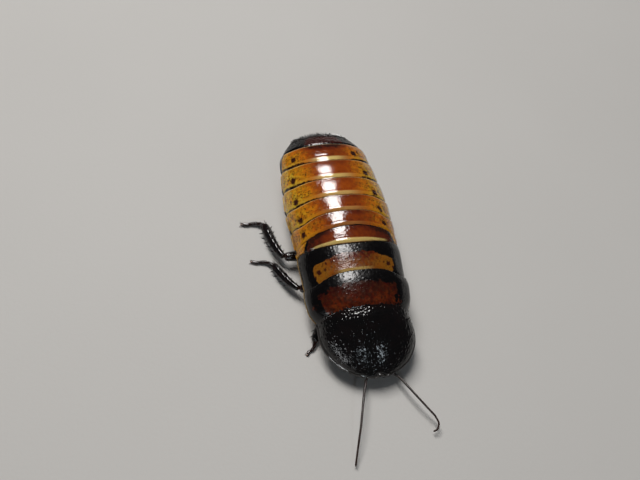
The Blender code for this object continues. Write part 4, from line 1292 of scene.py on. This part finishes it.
def make_tarsus(name, size, ankle, tip, rng):
    """The foot: four short joints with pads, a long last one, a soft lobe and two claws."""
    shape = Shape()
    thin, thick = (r * size for r in TARSUS_RADII)
    rest = thick * math.cos(math.pi / 8) - 0.03
    share = np.linspace(0, 1, TARSUS_STEPS)
    path = ankle + (tip - ankle) * share[:, None]
    drop = np.clip(1 - share / TARSUS_DESCENT, 0, 1)
    path[:, 2] = rest + (ankle[2] - rest) * drop + TARSUS_ARCH * bell(share, 0.3, 0.22)
    sideways = frame_of(tip - ankle)[1] * -np.sign((tip - ankle)[1] * (tip - ankle)[0])
    path = path + sideways * (TARSUS_ARCH * 1.3 * np.sin(math.pi * np.clip(share * 1.25, 0, 1)))[:, None]
    ends = TARSUS_JOINTS
    k = np.clip(np.searchsorted(ends, share, "right") - 1, 0, len(ends) - 2)
    t = (share - ends[k]) / (ends[k + 1] - ends[k])
    swell = thin + (thick - thin) * ease(0.0, 0.75, t) * (1 - 0.75 * ease(0.85, 1.0, t))
    radius = swell * (1 - 0.3 * bell(t, 0.0, 0.08))
    radius = np.minimum(radius, np.maximum(path[:, 2], thin * 0.6))
    radius[-4:] *= (0.95, 0.85, 0.7, 0.45)
    rings = tube(path, radius, radius, 20)
    rings[..., 2] = np.maximum(rings[..., 2], 0.0)
    low = ease(0.35, 0.0, rings[..., 2]) * ease(0.3, 0.5, t)[:, None]
    tone = 0.25 + 0.3 * ease(0.5, 1.0, share)[:, None] + 0.3 * low
    joint = 0.5 * low + 0.3 * bell(t, 0.0, 0.06)[:, None]
    shape.add_loft(rings, tone=np.clip(tone, 0, 1), joint=np.clip(joint, 0, 1))
    add_claws(shape, size, path)
    for _ in range(TARSUS_HAIRS):
        at = int(rng.uniform(0.05, 0.95) * TARSUS_STEPS)
        spin = rng.uniform(-0.2, math.pi + 0.2)
        forward, level, upright = frame_of(path[at + 1] - path[at - 1])
        out = way_out(level, upright, spin)
        hair(shape, path[at] + out * radius[at] * 0.8, out * 0.7 + forward, rng.uniform(0.12, 0.26), 0.014)
    shape.skin("tarsus_" + name, "dark_leg")


def add_claws(shape, size, path):
    end = path[-1]
    along, level, _ = frame_of(end - path[-2])
    for side in (-1, 1):
        base = end - along * 0.3 + level * side * 0.08
        goal = end - along * 0.45 + (along * CLAW_LENGTH + level * side * 0.55) * size
        goal[2] = 0.10
        middle = (base + goal) / 2 + np.array((0, 0, 0.22 * size))
        taper = np.linspace(0.16, 0.03, 14) * size
        claw = tube(through([base, middle, goal], 14), taper, taper, 9)
        shape.add_loft(claw, tone=np.linspace(0.9, 0.1, 14))
    wide, deep = np.array(LOBE_SIZES) * size
    shape.add_loft(tube([end + along * place for place in LOBE_PLACES], wide, deep, 12), tone=0.8, joint=0.9)


def make_bristles():
    """Short stiff hairs along the margins of the abdomen and round the tail."""
    rng = np.random.default_rng(SEED + 60)
    shape = Shape()
    for name in PLATE_NAMES[4:]:
        for sign in (-1, 1):
            for _ in range(MARGIN_BRISTLES):
                y = rng.uniform(float(rear_edge(plate_ahead(name), sign)), float(rear_edge(name, sign)))
                way = (sign, rng.uniform(0.1, 0.9), rng.uniform(-0.6, 0.2))
                root = on_back(y, sign * 0.995, 0.1)
                hair(shape, root, way, rng.uniform(0.25, 0.5), 0.025, sides=4, tone=0.1)
    for _ in range(TAIL_BRISTLES):
        u = rng.uniform(-0.97, 0.97)
        y = float(rear_edge("tergite_7", u)) - 0.1
        root = on_back(y, u, -0.05)
        out = unit(on_back(y, u, -1.0) - root)
        way = out * rng.uniform(0.1, 0.7) + np.array((u * 0.6 + rng.uniform(-0.3, 0.3), 1.0, 0))
        hair(shape, root, way, rng.uniform(0.3, 0.75), 0.045, sides=4, tone=0.0)
    shape.piece("margin_bristles", "dark_leg")


# Camera, floor and light.

CAMERA_PLACE = (-36.04, -41.41, 137.35)
CAMERA_RIGHT = (0.9759049797, -0.1845601652, 0.1163916490)
CAMERA_DOWN = (-0.0975477907, -0.8461881059, -0.5238798698)
CAMERA_FORWARD = (0.1951765844, 0.4999032255, -0.8438026228)
LENS = 36.0
SENSOR = 36.0
CLIP = (0.001, 10.0)
FLOOR_REACH = 1.2
WORLD_COLOUR = (0.90, 0.94, 1.0, 1)
WORLD_STRENGTH = 0.06
MIDDLE = (0, 35, 8)


def in_frame(point):
    """A point of the animal, in millimetres, as a place of the shared frame in metres."""
    return Vector((np.array(point, float) + ORIGIN) * MM)


def link(name, data):
    thing = bpy.data.objects.new(name, data)
    bpy.context.scene.collection.objects.link(thing)
    return thing


def make_camera():
    data = bpy.data.cameras.new("camera")
    data.lens = LENS
    data.sensor_width = SENSOR
    data.clip_start, data.clip_end = CLIP
    camera = link("camera", data)
    right, down, forward = (Vector(v) for v in (CAMERA_RIGHT, CAMERA_DOWN, CAMERA_FORWARD))
    turn = Matrix((right, -down, -forward)).transposed().to_4x4()
    camera.matrix_world = Matrix.Translation(in_frame(CAMERA_PLACE)) @ turn
    bpy.context.scene.camera = camera


def add_light(name, place, target, size, power, colour):
    data = bpy.data.lights.new(name, "AREA")
    data.shape = "RECTANGLE"
    data.size, data.size_y = size[0] * MM, size[1] * MM
    data.energy = power
    data.color = colour
    light = link(name, data)
    light.location = in_frame(place)
    light.rotation_euler = (in_frame(target) - in_frame(place)).to_track_quat("-Z", "Y").to_euler()
    return light


def make_stage():
    mesh = bpy.data.meshes.new("floor")
    corners = [(x * FLOOR_REACH, y * FLOOR_REACH, 0) for x, y in ((-1, -1), (1, -1), (1, 1), (-1, 1))]
    mesh.from_pydata(corners, [], [(0, 1, 2, 3)])
    mesh.materials.append(ground())
    floor = link("floor", mesh)
    world = bpy.data.worlds.new("studio")
    world.use_nodes = True
    background = world.node_tree.nodes["Background"]
    background.inputs["Color"].default_value = WORLD_COLOUR
    background.inputs["Strength"].default_value = WORLD_STRENGTH
    bpy.context.scene.world = world
    bpy.context.scene.view_settings.view_transform = "Standard"
    gleam = add_light("gleam", (15, 500, 878), MIDDLE, (250, 640), 11.7, (1.0, 0.98, 0.96))
    gleam.visible_diffuse = False
    key = add_light("key", (-200, 455, 893), MIDDLE, (300, 560), 7.6, (1.0, 0.98, 0.95))
    key.visible_glossy = False
    add_light("front", (60, -725, 540), (0, 5, 7), (80, 80), 0.42, (0.80, 0.92, 1.0))
    low = add_light("low", (-600, -615, 282), (0, 12, 7), (520, 60), 0.95, (0.95, 0.97, 1.0))
    low.visible_diffuse = False


middle_low, middle_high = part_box("mesonotum")
front_low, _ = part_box("thorax")
ORIGIN = np.array([(middle_low[0] + middle_high[0]) / 2 / MM, front_low[1] / MM - THORAX_START, 0.0])
FINISHES = {
    "amber_shell": plate_finish("amber_shell", 0.5, 0.2, (0.06, 0.12), (0.0, STRAW), (0.2, AMBER),
                                (0.45, ORANGE), (0.7, RUSSET), (0.92, MAHOGANY), (1.0, UMBER)),
    "mahogany_shell": plate_finish("mahogany_shell", 0.35, 0.0, (0.14, 0.24), (0.0, (0.26, 0.10, 0.007)),
                                   (0.35, (0.24, 0.065, 0.005)), (0.6, (0.13, 0.018, 0.003)),
                                   (0.8, (0.055, 0.005, 0.002)), (1.0, (0.016, 0.002, 0.002))),
    "black_shell": black_shell("black_shell"),
    "dark_leg": cuticle("dark_leg", (0.0028, 0.0020, 0.0022), (0.035, 0.008, 0.004),
                        (0.14, 0.055, 0.02), (0.07, 0.16)),
    "dark_head": cuticle("dark_head", (0.006, 0.0035, 0.003), (0.15, 0.035, 0.010), (0.55, 0.34, 0.14)),
    "feeler": cuticle("feeler", (0.006, 0.003, 0.002), (0.035, 0.011, 0.005), (0.20, 0.10, 0.05),
                      (0.3, 0.5)),
    "brown_underside": underside("brown_underside"),
    "eye": facets("eye"),
}

make_camera()
make_stage()
make_pronotum()
make_thorax_plates()
make_first_tergite()
make_abdomen_plates()
make_last_tergite()
make_belly()
make_breast()
make_tail()
make_head()
make_mouthparts()
make_antennae()
for leg_name, leg_places in LEGS.items():
    make_leg(leg_name, leg_places)
make_bristles()
